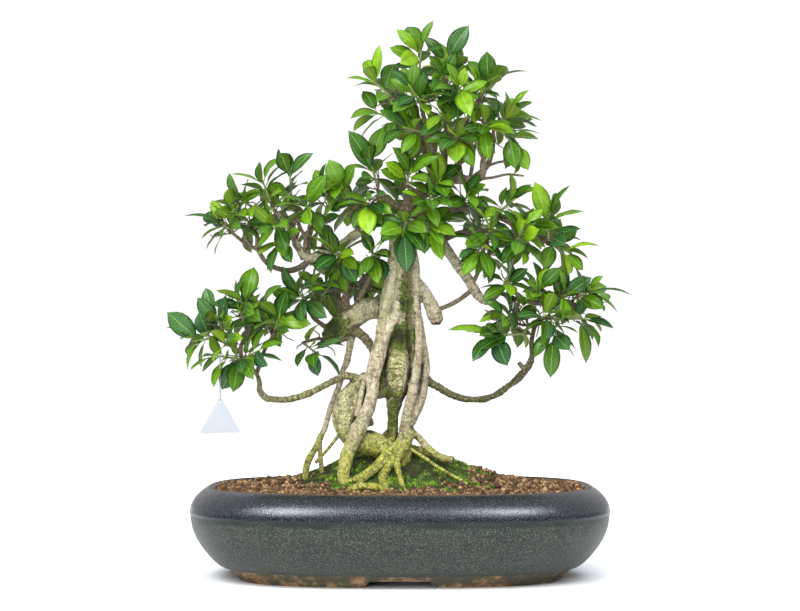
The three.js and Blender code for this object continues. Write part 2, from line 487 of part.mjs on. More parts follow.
// A square of plastic mesh over each drain hole
function makeDrainMesh(name, x) {
  const z = FLOOR_TOP + CLEARANCE + DRAIN_MESH_THICKNESS / 2;
  const plate = new THREE.BoxGeometry(DRAIN_MESH_SIZE, DRAIN_MESH_SIZE, DRAIN_MESH_THICKNESS);
  plate.translate(x, 0, z);
  let mesh = solidOf(plate);
  const pitch = DRAIN_MESH_SIZE / DRAIN_MESH_BARS;
  const middle = (DRAIN_MESH_BARS - 1) / 2;
  for (let column = 0; column < DRAIN_MESH_BARS; column += 1) {
    for (let row = 0; row < DRAIN_MESH_BARS; row += 1) {
      const hole = new THREE.BoxGeometry(pitch * 0.7, pitch * 0.7, DRAIN_MESH_THICKNESS * 2);
      hole.translate(x + pitch * (column - middle), pitch * (row - middle), z);
      mesh = mesh.subtract(solidOf(hole));
    }
  }
  addMesh(name, mesh, MATERIALS.mesh);
}

// A tapering limb along a smooth curve through rows of x, y, z and radius
function limbGeometry(rows, sides, steps, grow = 0) {
  const curve = new THREE.CatmullRomCurve3(rows.map(([x, y, z]) => new THREE.Vector3(x, y, z)));
  const geometry = new THREE.CylinderGeometry(1, 1, 1, sides, steps);
  const across = [];
  let side = new THREE.Vector3(0.31, -0.95, 0);
  for (let step = 0; step <= steps; step += 1) {
    const along = curve.getTangent(step / steps);
    side = side.clone().addScaledVector(along, -side.dot(along));
    if (side.length() < 0.2) side = new THREE.Vector3(0, 0, 1).addScaledVector(along, -along.z);
    side.normalize();
    across.push([side, new THREE.Vector3().crossVectors(along, side)]);
  }
  const position = geometry.attributes.position;
  for (let i = 0; i < position.count; i += 1) {
    const along = 0.5 - position.getY(i);
    const row = Math.min(along * (rows.length - 1), rows.length - 1.0001);
    const before = rows[Math.floor(row)][3];
    const after = rows[Math.floor(row) + 1][3];
    const radius = before + (after - before) * (row % 1) + grow;
    const [first, second] = across[Math.round(along * steps)];
    const point = curve.getPoint(along);
    if (along < 0.001) point.addScaledVector(curve.getTangent(0), -grow);
    if (along > 0.999) point.addScaledVector(curve.getTangent(1), grow);
    point.addScaledVector(first, position.getX(i) * radius);
    point.addScaledVector(second, position.getZ(i) * radius);
    position.setXYZ(i, point.x, point.y, point.z);
  }
  return geometry;
}

function limbSolid(name, grow = 0) {
  const rows = LIMBS[name];
  const thickest = Math.max(...rows.map((row) => row[3]));
  const sides = 3 + LIMB_SIDE_STEPS.filter((radius) => thickest > radius).length;
  return solidOf(limbGeometry(rows, sides, Math.ceil((rows.length - 1) * LIMB_DETAIL), grow));
}

// The point of the wood nearest to a place, among the limbs that bear leaves
function nearestWood(place) {
  let best = null;
  for (const [name, rows] of Object.entries(LIMBS)) {
    if (LIMBS_IN_SOIL.includes(name) || name.startsWith('root') || name === 'cut_stub') continue;
    const curve = new THREE.CatmullRomCurve3(rows.map(([x, y, z]) => new THREE.Vector3(x, y, z)));
    const samples = (rows.length - 1) * 4;
    for (let i = 2; i <= samples; i += 1) {
      const point = curve.getPoint(i / samples);
      const distance = point.distanceTo(place);
      if (!best || distance < best.distance) best = { point, distance, name };
    }
  }
  return best;
}

// The brown twig that carries a shoot, from the nearest limb to just short of the shoot's green stem
function twigGeometry(base, stemTip) {
  const direction = stemTip.clone().sub(base).normalize();
  const { point } = nearestWood(base);
  const end = base.clone().addScaledVector(direction, -CLEARANCE);
  const before = base.clone().addScaledVector(direction, -7);
  const rows = [point, before, end].map((p, i) => [p.x, p.y, p.z, TWIG_RADIUS - 0.2 * i]);
  return limbGeometry(rows, TWIG_SIDES, 2);
}

// A closed body from points and the corner numbers of its triangles
function bodyOf(points, index) {
  const geometry = new THREE.BufferGeometry().setFromPoints(points);
  geometry.setIndex(index);
  return solidOf(geometry);
}

// The outline of a leaf from the left of its foot round the tip to the right of its foot, on both faces.
// Each station is the way along the leaf and the half width there, left of the midrib if negative.
const BLADE_STATIONS = [[0.4, -1], [0.74, -0.8], [1, 0], [0.74, 0.8], [0.4, 1]];
const BLADE_FACES = [[0, 1, 5], [0, 5, 6], [1, 2, 5], [2, 4, 5], [2, 3, 4]];

// The height of the arched blade over the straight line from foot to tip
function riseOf(leaf, u) {
  return BLADE_ARCH * leaf.base.distanceTo(leaf.tip) * 4 * u * (1 - u);
}

function bladePoints(leaf, foot, grow = 0) {
  const length = leaf.base.distanceTo(leaf.tip);
  const points = [];
  for (const face of [1, -1]) {
    const outer = BLADE_STATIONS.map(([u, v]) => {
      const point = leaf.base.clone().addScaledVector(leaf.along, u * length);
      point.addScaledVector(leaf.side, v * (leaf.width / 2) + Math.sign(v) * grow);
      return point.addScaledVector(leaf.normal, riseOf(leaf, u) + face * (BLADE_THICKNESS / 2 + grow));
    });
    const [left, right] = face > 0 ? [foot[0], foot[1]] : [foot[3], foot[2]];
    points.push(left, ...outer, right);
  }
  return points;
}

// The triangles of a blade without the end that stands on the stem
function bladeIndex(start) {
  const index = [];
  for (const [a, b, c] of BLADE_FACES) index.push(a, b, c, a + 7, c + 7, b + 7);
  for (let i = 0; i < 6; i += 1) index.push(i + 7, i + 8, i + 1, i + 7, i + 1, i);
  return index.map((corner) => corner + start);
}

// The foot of a leaf square to its length, a given part of the way to the tip
function squareFoot(leaf, part, halfWidth, halfThickness) {
  const centre = leaf.base.clone().lerp(leaf.tip, part);
  centre.addScaledVector(leaf.normal, riseOf(leaf, part));
  return [[-1, 1], [1, 1], [1, -1], [-1, -1]].map(([a, b]) => centre.clone()
    .addScaledVector(leaf.side, a * halfWidth).addScaledVector(leaf.normal, b * halfThickness));
}

// A leaf's blade as a body of its own from a part of its length onwards, grown by the room it needs all round
function bladeBody(leaf, start, grow) {
  const halfWidth = (leaf.width / 2) * (start / BLADE_STATIONS[0][0]) + grow;
  const foot = squareFoot(leaf, start, halfWidth, BLADE_THICKNESS / 2 + grow);
  return bodyOf(bladePoints(leaf, foot, grow), [...bladeIndex(0), 0, 6, 13, 0, 13, 7]);
}

// The flats of a tapering stem, each with its corners, its own axes and room for the feet of leaves
function flatsOf(stem) {
  const turn = new THREE.Quaternion();
  turn.setFromUnitVectors(new THREE.Vector3(0, 1, 0), stem.tip.clone().sub(stem.base).normalize());
  const ring = (centre, radius) => Array.from({ length: STEM_SIDES }, (_, i) => {
    const angle = (i / STEM_SIDES) * 2 * Math.PI;
    const corner = new THREE.Vector3(Math.sin(angle), 0, Math.cos(angle)).multiplyScalar(radius);
    return corner.applyQuaternion(turn).add(centre);
  });
  const low = ring(stem.base, STEM_RADIUS);
  const high = ring(stem.tip, STEM_RADIUS * STEM_TAPER);
  stem.points = [...low, ...high];
  return low.map((_, i) => {
    const j = (i + 1) % STEM_SIDES;
    const origin = low[i].clone().lerp(low[j], 0.5);
    const end = high[i].clone().lerp(high[j], 0.5);
    const across = low[j].clone().sub(low[i]).normalize();
    const up = end.clone().sub(origin).normalize();
    const normal = new THREE.Vector3().crossVectors(across, up);
    const halves = [low[i].distanceTo(low[j]) / 2, high[i].distanceTo(high[j]) / 2];
    const corners = [i, j, j + STEM_SIDES, i + STEM_SIDES];
    return { corners, origin, end, across, up, normal, halves, feet: [] };
  });
}

// A place on a flat as the way across it and the way up it
function onFlat(flat, point) {
  const offset = point.clone().sub(flat.origin);
  return new THREE.Vector2(offset.dot(flat.across), offset.dot(flat.up));
}

// The foot of a leaf on its flat: the leaf's cross section carried along the leaf to the flat.
// There is no foot where it would reach an edge of the flat or another foot.
function footOn(flat, leaf) {
  const lean = leaf.along.dot(flat.normal);
  if (lean < 0.2) return null;
  const corners = squareFoot(leaf, 0, FOOT_HALF_WIDTH, BLADE_THICKNESS / 2);
  for (const corner of corners) {
    const height = corner.clone().sub(flat.origin).dot(flat.normal);
    corner.addScaledVector(leaf.along, -height / lean);
  }
  const places = corners.map((corner) => onFlat(flat, corner));
  const height = flat.origin.distanceTo(flat.end);
  const isInside = places.every(({ x, y }) => {
    const half = flat.halves[0] + (flat.halves[1] - flat.halves[0]) * (y / height);
    return Math.abs(x) < half - FOOT_MARGIN && y > FOOT_MARGIN && y < height - FOOT_MARGIN;
  });
  const box = new THREE.Box2().setFromPoints(places).expandByScalar(FOOT_MARGIN);
  if (!isInside || flat.feet.some((other) => other.box.intersectsBox(box))) return null;
  return { corners, places, box };
}

// A stem with all its leaves as one closed body: every foot is a hole in a flat that its leaf's walls close
function shootBody(stem) {
  const points = [...stem.points];
  const index = [0, 2, 1, 3, 4, 5];
  for (const flat of stem.flats) {
    const numbers = [...flat.corners];
    const holes = [];
    for (const foot of flat.feet) {
      const start = points.length;
      points.push(...bladePoints(foot.leaf, foot.corners));
      index.push(...bladeIndex(start));
      const order = THREE.ShapeUtils.isClockWise(foot.places) ? [0, 1, 2, 3] : [3, 2, 1, 0];
      holes.push(order.map((i) => foot.places[i]));
      numbers.push(...order.map((i) => start + [0, 6, 13, 7][i]));
    }
    const contour = flat.corners.map((corner) => onFlat(flat, stem.points[corner]));
    for (const triangle of THREE.ShapeUtils.triangulateShape(contour, holes)) {
      index.push(...triangle.map((corner) => numbers[corner]));
    }
  }
  return bodyOf(points, index);
}

// A leaf from its foot to its tip, with its face turned to a given way as far as it can be
function leafFrom(base, tip, facing, width, flat) {
  const along = tip.clone().sub(base).normalize();
  const normal = facing.clone().addScaledVector(along, -facing.dot(along)).normalize();
  return { base, tip, along, normal, side: new THREE.Vector3().crossVectors(normal, along), width, flat };
}

// A leaf with a tip of its own: it starts where the stem is about a leaf's length from that tip
function markedLeaf(stem, mark, attempt) {
  const [x, y, z, turn, ratio] = mark;
  const shift = Math.ceil(attempt / 2) * (attempt % 2 === 0 ? 1 : -1);
  const tip = new THREE.Vector3(x, y + 4 * shift, z);
  const places = [];
  for (const flat of stem.flats) {
    for (let step = 0.1; step < 0.95; step += 0.05) {
      const base = flat.origin.clone().lerp(flat.end, step);
      const way = tip.clone().sub(base);
      const lean = way.clone().normalize().dot(flat.normal);
      const misfit = Math.abs(way.length() - LEAF_LENGTH - PETIOLE) + 6 * (1 - lean);
      if (lean > 0.3) places.push({ base, flat, misfit });
    }
  }
  if (places.length === 0) return null;
  places.sort((a, b) => a.misfit - b.misfit);
  const { base, flat } = places[Math.min(attempt, places.length - 1)];
  const angle = THREE.MathUtils.degToRad(turn);
  const facing = UP.clone().multiplyScalar(Math.cos(angle)).addScaledVector(FRONT, Math.sin(angle));
  return leafFrom(base, tip, facing, ratio * base.distanceTo(tip), flat);
}

// A leaf on the spiral round the stem, wide of it low down and more in line with it at the tip
function spiralLeaf(stem, number, count, attempt) {
  const step = count > 1 ? number / (count - 1) : 1;
  const luck = (key) => draw(stem.number, number, attempt, key);
  const phase = Math.floor(draw(stem.number, 77) * STEM_SIDES);
  const flat = stem.flats[(number + phase + attempt) % STEM_SIDES];
  const turn = (luck(1) - 0.5) * 1.4;
  const spread = THREE.MathUtils.degToRad(78 - 36 * step + (luck(2) - 0.5) * 24);
  const base = flat.origin.clone().lerp(flat.end, 0.12 + 0.78 * step + (luck(8) - 0.5) * 0.06);
  const along = flat.up.clone().multiplyScalar(Math.cos(spread));
  along.addScaledVector(flat.normal, Math.sin(spread) * Math.cos(turn));
  along.addScaledVector(flat.across, Math.sin(spread) * Math.sin(turn));
  along.z -= 0.15 * luck(3);
  const length = PETIOLE + LEAF_LENGTH * (0.76 + 0.36 * luck(4));
  const tip = base.clone().addScaledVector(along.normalize(), length);
  const outward = new THREE.Vector3(base.x * 0.4, base.y, 0).normalize();
  const angle = THREE.MathUtils.degToRad(15 + 60 * luck(5));
  const facing = UP.clone().multiplyScalar(Math.cos(angle)).addScaledVector(outward, Math.sin(angle));
  facing.addScaledVector(flat.across, (luck(6) - 0.5) * 0.5);
  return leafFrom(base, tip, facing, LEAF_WIDTH_RATIO * length * (0.85 + 0.3 * luck(7)), flat);
}

// The stems of every shoot, with the node that each belongs to
function makeStems() {
  const list = Object.entries(SHOOTS).map(([name, [base, tip, count, marks]], number) => {
    const ends = { base: new THREE.Vector3(...base), tip: new THREE.Vector3(...tip) };
    return { node: name.replace('_fork', ''), name, number, ...ends, count, marks };
  });
  for (const stem of list) {
    const first = list.find((other) => other.name === stem.node);
    if (stem !== first) stem.base.addScaledVector(first.tip.clone().sub(first.base).normalize(), FORK_RISE);
    stem.flats = flatsOf(stem);
  }
  return list;
}

function boxesMeet(a, b) {
  return [0, 1, 2].every((k) => a.min[k] <= b.max[k] && b.min[k] <= a.max[k]);
}

// Grows the leaves of every shoot one by one, each clear of the wood, the stems, the tag and the other leaves
function makeShoots(stems, obstacles) {
  const boxed = (solid) => ({ solid, box: solid.boundingBox() });
  const still = obstacles.map(boxed);
  const grown = stems.map((stem) => boxed(shootBody(stem)));
  const isFree = (probe, others) => {
    const box = probe.boundingBox();
    return others.every((other) => !boxesMeet(box, other.box) || probe.intersect(other.solid).isEmpty());
  };
  const isClear = (leaf) => isFree(bladeBody(leaf, FOOT_START, LEAF_ROOM), still)
    && isFree(bladeBody(leaf, LEAF_START, LEAF_ROOM), grown);
  const grow = (stem, leafAt) => {
    for (let attempt = 0; attempt < LEAF_TRIES; attempt += 1) {
      const leaf = leafAt(attempt);
      const foot = leaf && footOn(leaf.flat, leaf);
      if (foot && isClear(leaf)) {
        leaf.flat.feet.push({ leaf, ...foot });
        grown.push(boxed(bladeBody(leaf, LEAF_START, 0)));
        return;
      }
    }
  };
  for (const stem of stems) {
    for (const mark of stem.marks) grow(stem, (attempt) => markedLeaf(stem, mark, attempt));
  }
  for (const stem of stems) {
    const count = stem.count - stem.marks.length;
    for (let i = 0; i < count; i += 1) grow(stem, (attempt) => spiralLeaf(stem, i, count, attempt));
  }
  for (const node of new Set(stems.map((stem) => stem.node))) {
    const bodies = stems.filter((stem) => stem.node === node).map(shootBody);
    addMesh(`shoot_${node}`, joined(bodies), MATERIALS.leaf);
  }
}

// The plain three-cornered tag and the clear loop that it hangs from
function makeTag() {
  const half = TAG_WIDTH / 2;
  const corners = [
    new THREE.Vector2(-half, -TAG_HEIGHT), new THREE.Vector2(half, -TAG_HEIGHT + 2), new THREE.Vector2(0, 0),
  ];
  const outline = new THREE.Shape();
  corners.forEach((corner, i) => {
    const before = corners[(i + 2) % 3].clone().sub(corner).setLength(TAG_CORNER).add(corner);
    const after = corners[(i + 1) % 3].clone().sub(corner).setLength(TAG_CORNER).add(corner);
    if (i === 0) outline.moveTo(before.x, before.y);
    else outline.lineTo(before.x, before.y);
    outline.quadraticCurveTo(corner.x, corner.y, after.x, after.y);
  });
  outline.closePath();
  outline.holes.push(new THREE.Path().absarc(0, -TAG_HOLE_DROP, TAG_HOLE_RADIUS, 0, 2 * Math.PI, true));
  const options = { depth: TAG_THICKNESS, bevelEnabled: false, curveSegments: 4 };
  const plate = new THREE.ExtrudeGeometry(outline, options);
  plate.rotateX(Math.PI / 2);
  const holeTop = LOOP_BOTTOM + LOOP_RADIUS + 3 * CLEARANCE;
  plate.translate(LOOP_X, LOOP_Y + TAG_THICKNESS / 2, holeTop - TAG_HOLE_RADIUS + TAG_HOLE_DROP);
  const right = [
    [0, LOOP_BOTTOM], [0.72, LOOP_BOTTOM + 1.2], [1, LOOP_BOTTOM + 6],
    [1, LOOP_TOP - 5], [0.72, LOOP_TOP - 0.9],
  ];
  const left = right.slice(1).map(([y, z]) => [-y, z]).reverse();
  const path = [...right, [0, LOOP_TOP], ...left]
    .map(([y, z]) => new THREE.Vector3(LOOP_X, LOOP_Y + y * LOOP_HALF_GAP, z));
  // Each ring of the loop stands at a point of the path
  const curve = new THREE.CatmullRomCurve3(path, true);
  curve.getUtoTmapping = (u) => u;
  const loop = new THREE.TubeGeometry(curve, path.length, LOOP_RADIUS, 4, true);
  return [solidOf(plate), solidOf(loop)];
}

const stems = makeStems();
const limbs = Object.keys(LIMBS).map((name) => limbSolid(name));
const firstStems = stems.filter((stem) => stem.name === stem.node);
const twigs = firstStems.map((stem) => solidOf(twigGeometry(stem.base, stem.tip)));
const [tag, loop] = makeTag();

makePot();
makeSoil(joined(LIMBS_IN_SOIL.map((name) => limbSolid(name, ROOT_CLEARANCE))));
makeDrainMesh('drain_mesh_left', -DRAIN_X);
makeDrainMesh('drain_mesh_right', DRAIN_X);
addMesh('trunk_and_branches', joined([...limbs, ...twigs]), MATERIALS.bark);
makeShoots(stems, [...limbs, ...twigs, tag, loop]);
addMesh('tag', tag, MATERIALS.tag);
addMesh('tag_loop', loop, MATERIALS.thread);

export default model;
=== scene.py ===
"""Looks for the ficus bonsai in its oval pot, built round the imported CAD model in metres.

The leaves stand where the CAD model has them and are made finer. Shoots that the CAD model leaves out are
added from rows of their own. The wood is swept along the rows of the CAD limbs, with a few limbs of its own,
and joined by a voxel remesh.
"""

import math
import random

import bmesh
import bpy
import numpy as np
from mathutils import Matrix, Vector, kdtree, noise


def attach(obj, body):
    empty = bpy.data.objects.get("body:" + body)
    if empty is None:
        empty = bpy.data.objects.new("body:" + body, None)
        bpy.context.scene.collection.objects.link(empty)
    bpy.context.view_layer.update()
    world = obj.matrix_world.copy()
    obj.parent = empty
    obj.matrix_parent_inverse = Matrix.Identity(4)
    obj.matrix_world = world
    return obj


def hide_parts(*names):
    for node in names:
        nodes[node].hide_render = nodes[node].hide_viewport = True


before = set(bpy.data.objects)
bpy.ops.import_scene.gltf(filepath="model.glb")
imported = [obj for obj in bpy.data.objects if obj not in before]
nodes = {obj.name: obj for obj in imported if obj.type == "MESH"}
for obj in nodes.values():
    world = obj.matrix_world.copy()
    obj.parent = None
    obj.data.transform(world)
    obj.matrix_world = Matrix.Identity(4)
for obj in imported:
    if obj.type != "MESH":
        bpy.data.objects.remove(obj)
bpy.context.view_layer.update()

MM = 0.001
SEED = 5

# The pot, in millimetres, as in the CAD source
POT_HALF_WIDTH = 282
POT_HALF_DEPTH = 211
LEAST_DEPTH_RATIO = 0.6
OVAL_POWER = 2.8
OUTSIDE = [
    (200, 9), (202, 0), (216, 0), (222.5, 7), (229, 13), (233.5, 16.4), (237, 17), (241, 18.6), (246, 22),
    (257, 33), (270, 51), (278, 69), (280.8, 87.5), (281.8, 90.5), (279, 101), (271, 112), (258, 121),
    (251, 122.5), (248, 120),
]
INSIDE = [(249, 115), (262, 103), (266, 76), (250, 40), (228, 17.5)]
SHARP_ROWS = {1, 2, 5, 12}
POT_SIDES = 240
FLAT_RADIUS = 120
UNDERSIDE = 9
FLOOR_TOP = 17.5
SHARP_ANGLE = 38
FOOT_GAP_WIDTH = 97
FOOT_GAP_TOP_WIDTH = 77
FOOT_END_GAP_WIDTH = 80
FOOT_GAP_LOW = -1
FOOT_GAP_HIGH = UNDERSIDE - 0.2
FOOT_GAP_REACH = (100, 240)
FOOT_END_GAP_REACH = (160, 300)
DRAIN_RADIUS = 14
DRAIN_SIDES = 40
DRAIN_REACH = (-8, 32)
DRAIN_X = 95

# The soil, in millimetres: its wall, its top of many rings, and the mound under the tree
SOIL_SIDES = 200
SOIL_BOTTOM = 20
SOIL_EDGE = 117
SOIL_WALL = [(120, SOIL_BOTTOM), (229, SOIL_BOTTOM), (249, 40), (265, 76), (261, 103)]
SOIL_TOP_RADII = (249.3, 1.5)
SOIL_TOP_RINGS = 64
MOUND_HEIGHT = 50
MOUND_CENTRE_Y = 25
MOUND_SPREAD_X = 88
MOUND_SPREAD_Y = 45

# Where the ground is mossy and where painted shade darkens it: centre, reach, and how sharply it ends
MOSSY_GROUND = ((-16, -2), (148, 92), 2)
SHADED_GROUND = [((2, 0), (60, 42), 1.5), ((-112, -6), (34, 30), 1)]

# Granules and tufts of moss, in millimetres: tries, the area that they are strewn over, and their measures
GRANULE_TRIES = 9000
GRANULE_AREA = (247, 176)
GRANULE_OVAL = 246
GRANULE_SIZES = (1.7, 3.6)
GRANULE_STRETCHES = [(0.75, 1.3), (0.75, 1.3), (0.6, 1.0)]
GRANULE_CORNERS = (0.78, 1.15)
TUFT_TRIES = 26000
TUFT_AREA = [(-200, 220), (-150, 150)]
TUFT_OVAL = 243
TUFT_LEAST_MOSS = 0.35
TUFT_HEIGHTS = (1.2, 3.4)
TUFT_RADII = (0.5, 1.0)
TUFT_CORNERS = (0, 2.1, 4.2)
TUFT_DEPTH = 0.4
ABOUT_A_TURN = 6.28

# Leaves, in millimetres
PETIOLE = 6
LEAF_LENGTH = 39
LEAF_WIDTH_RATIO = 0.46
CAD_THICKNESS = 0.7
CAD_STATIONS = (0.4, 0.74)
CAD_PAIRS = 5
BLADE_ARCH = 0.08
LEAF_THICKNESS = 0.42

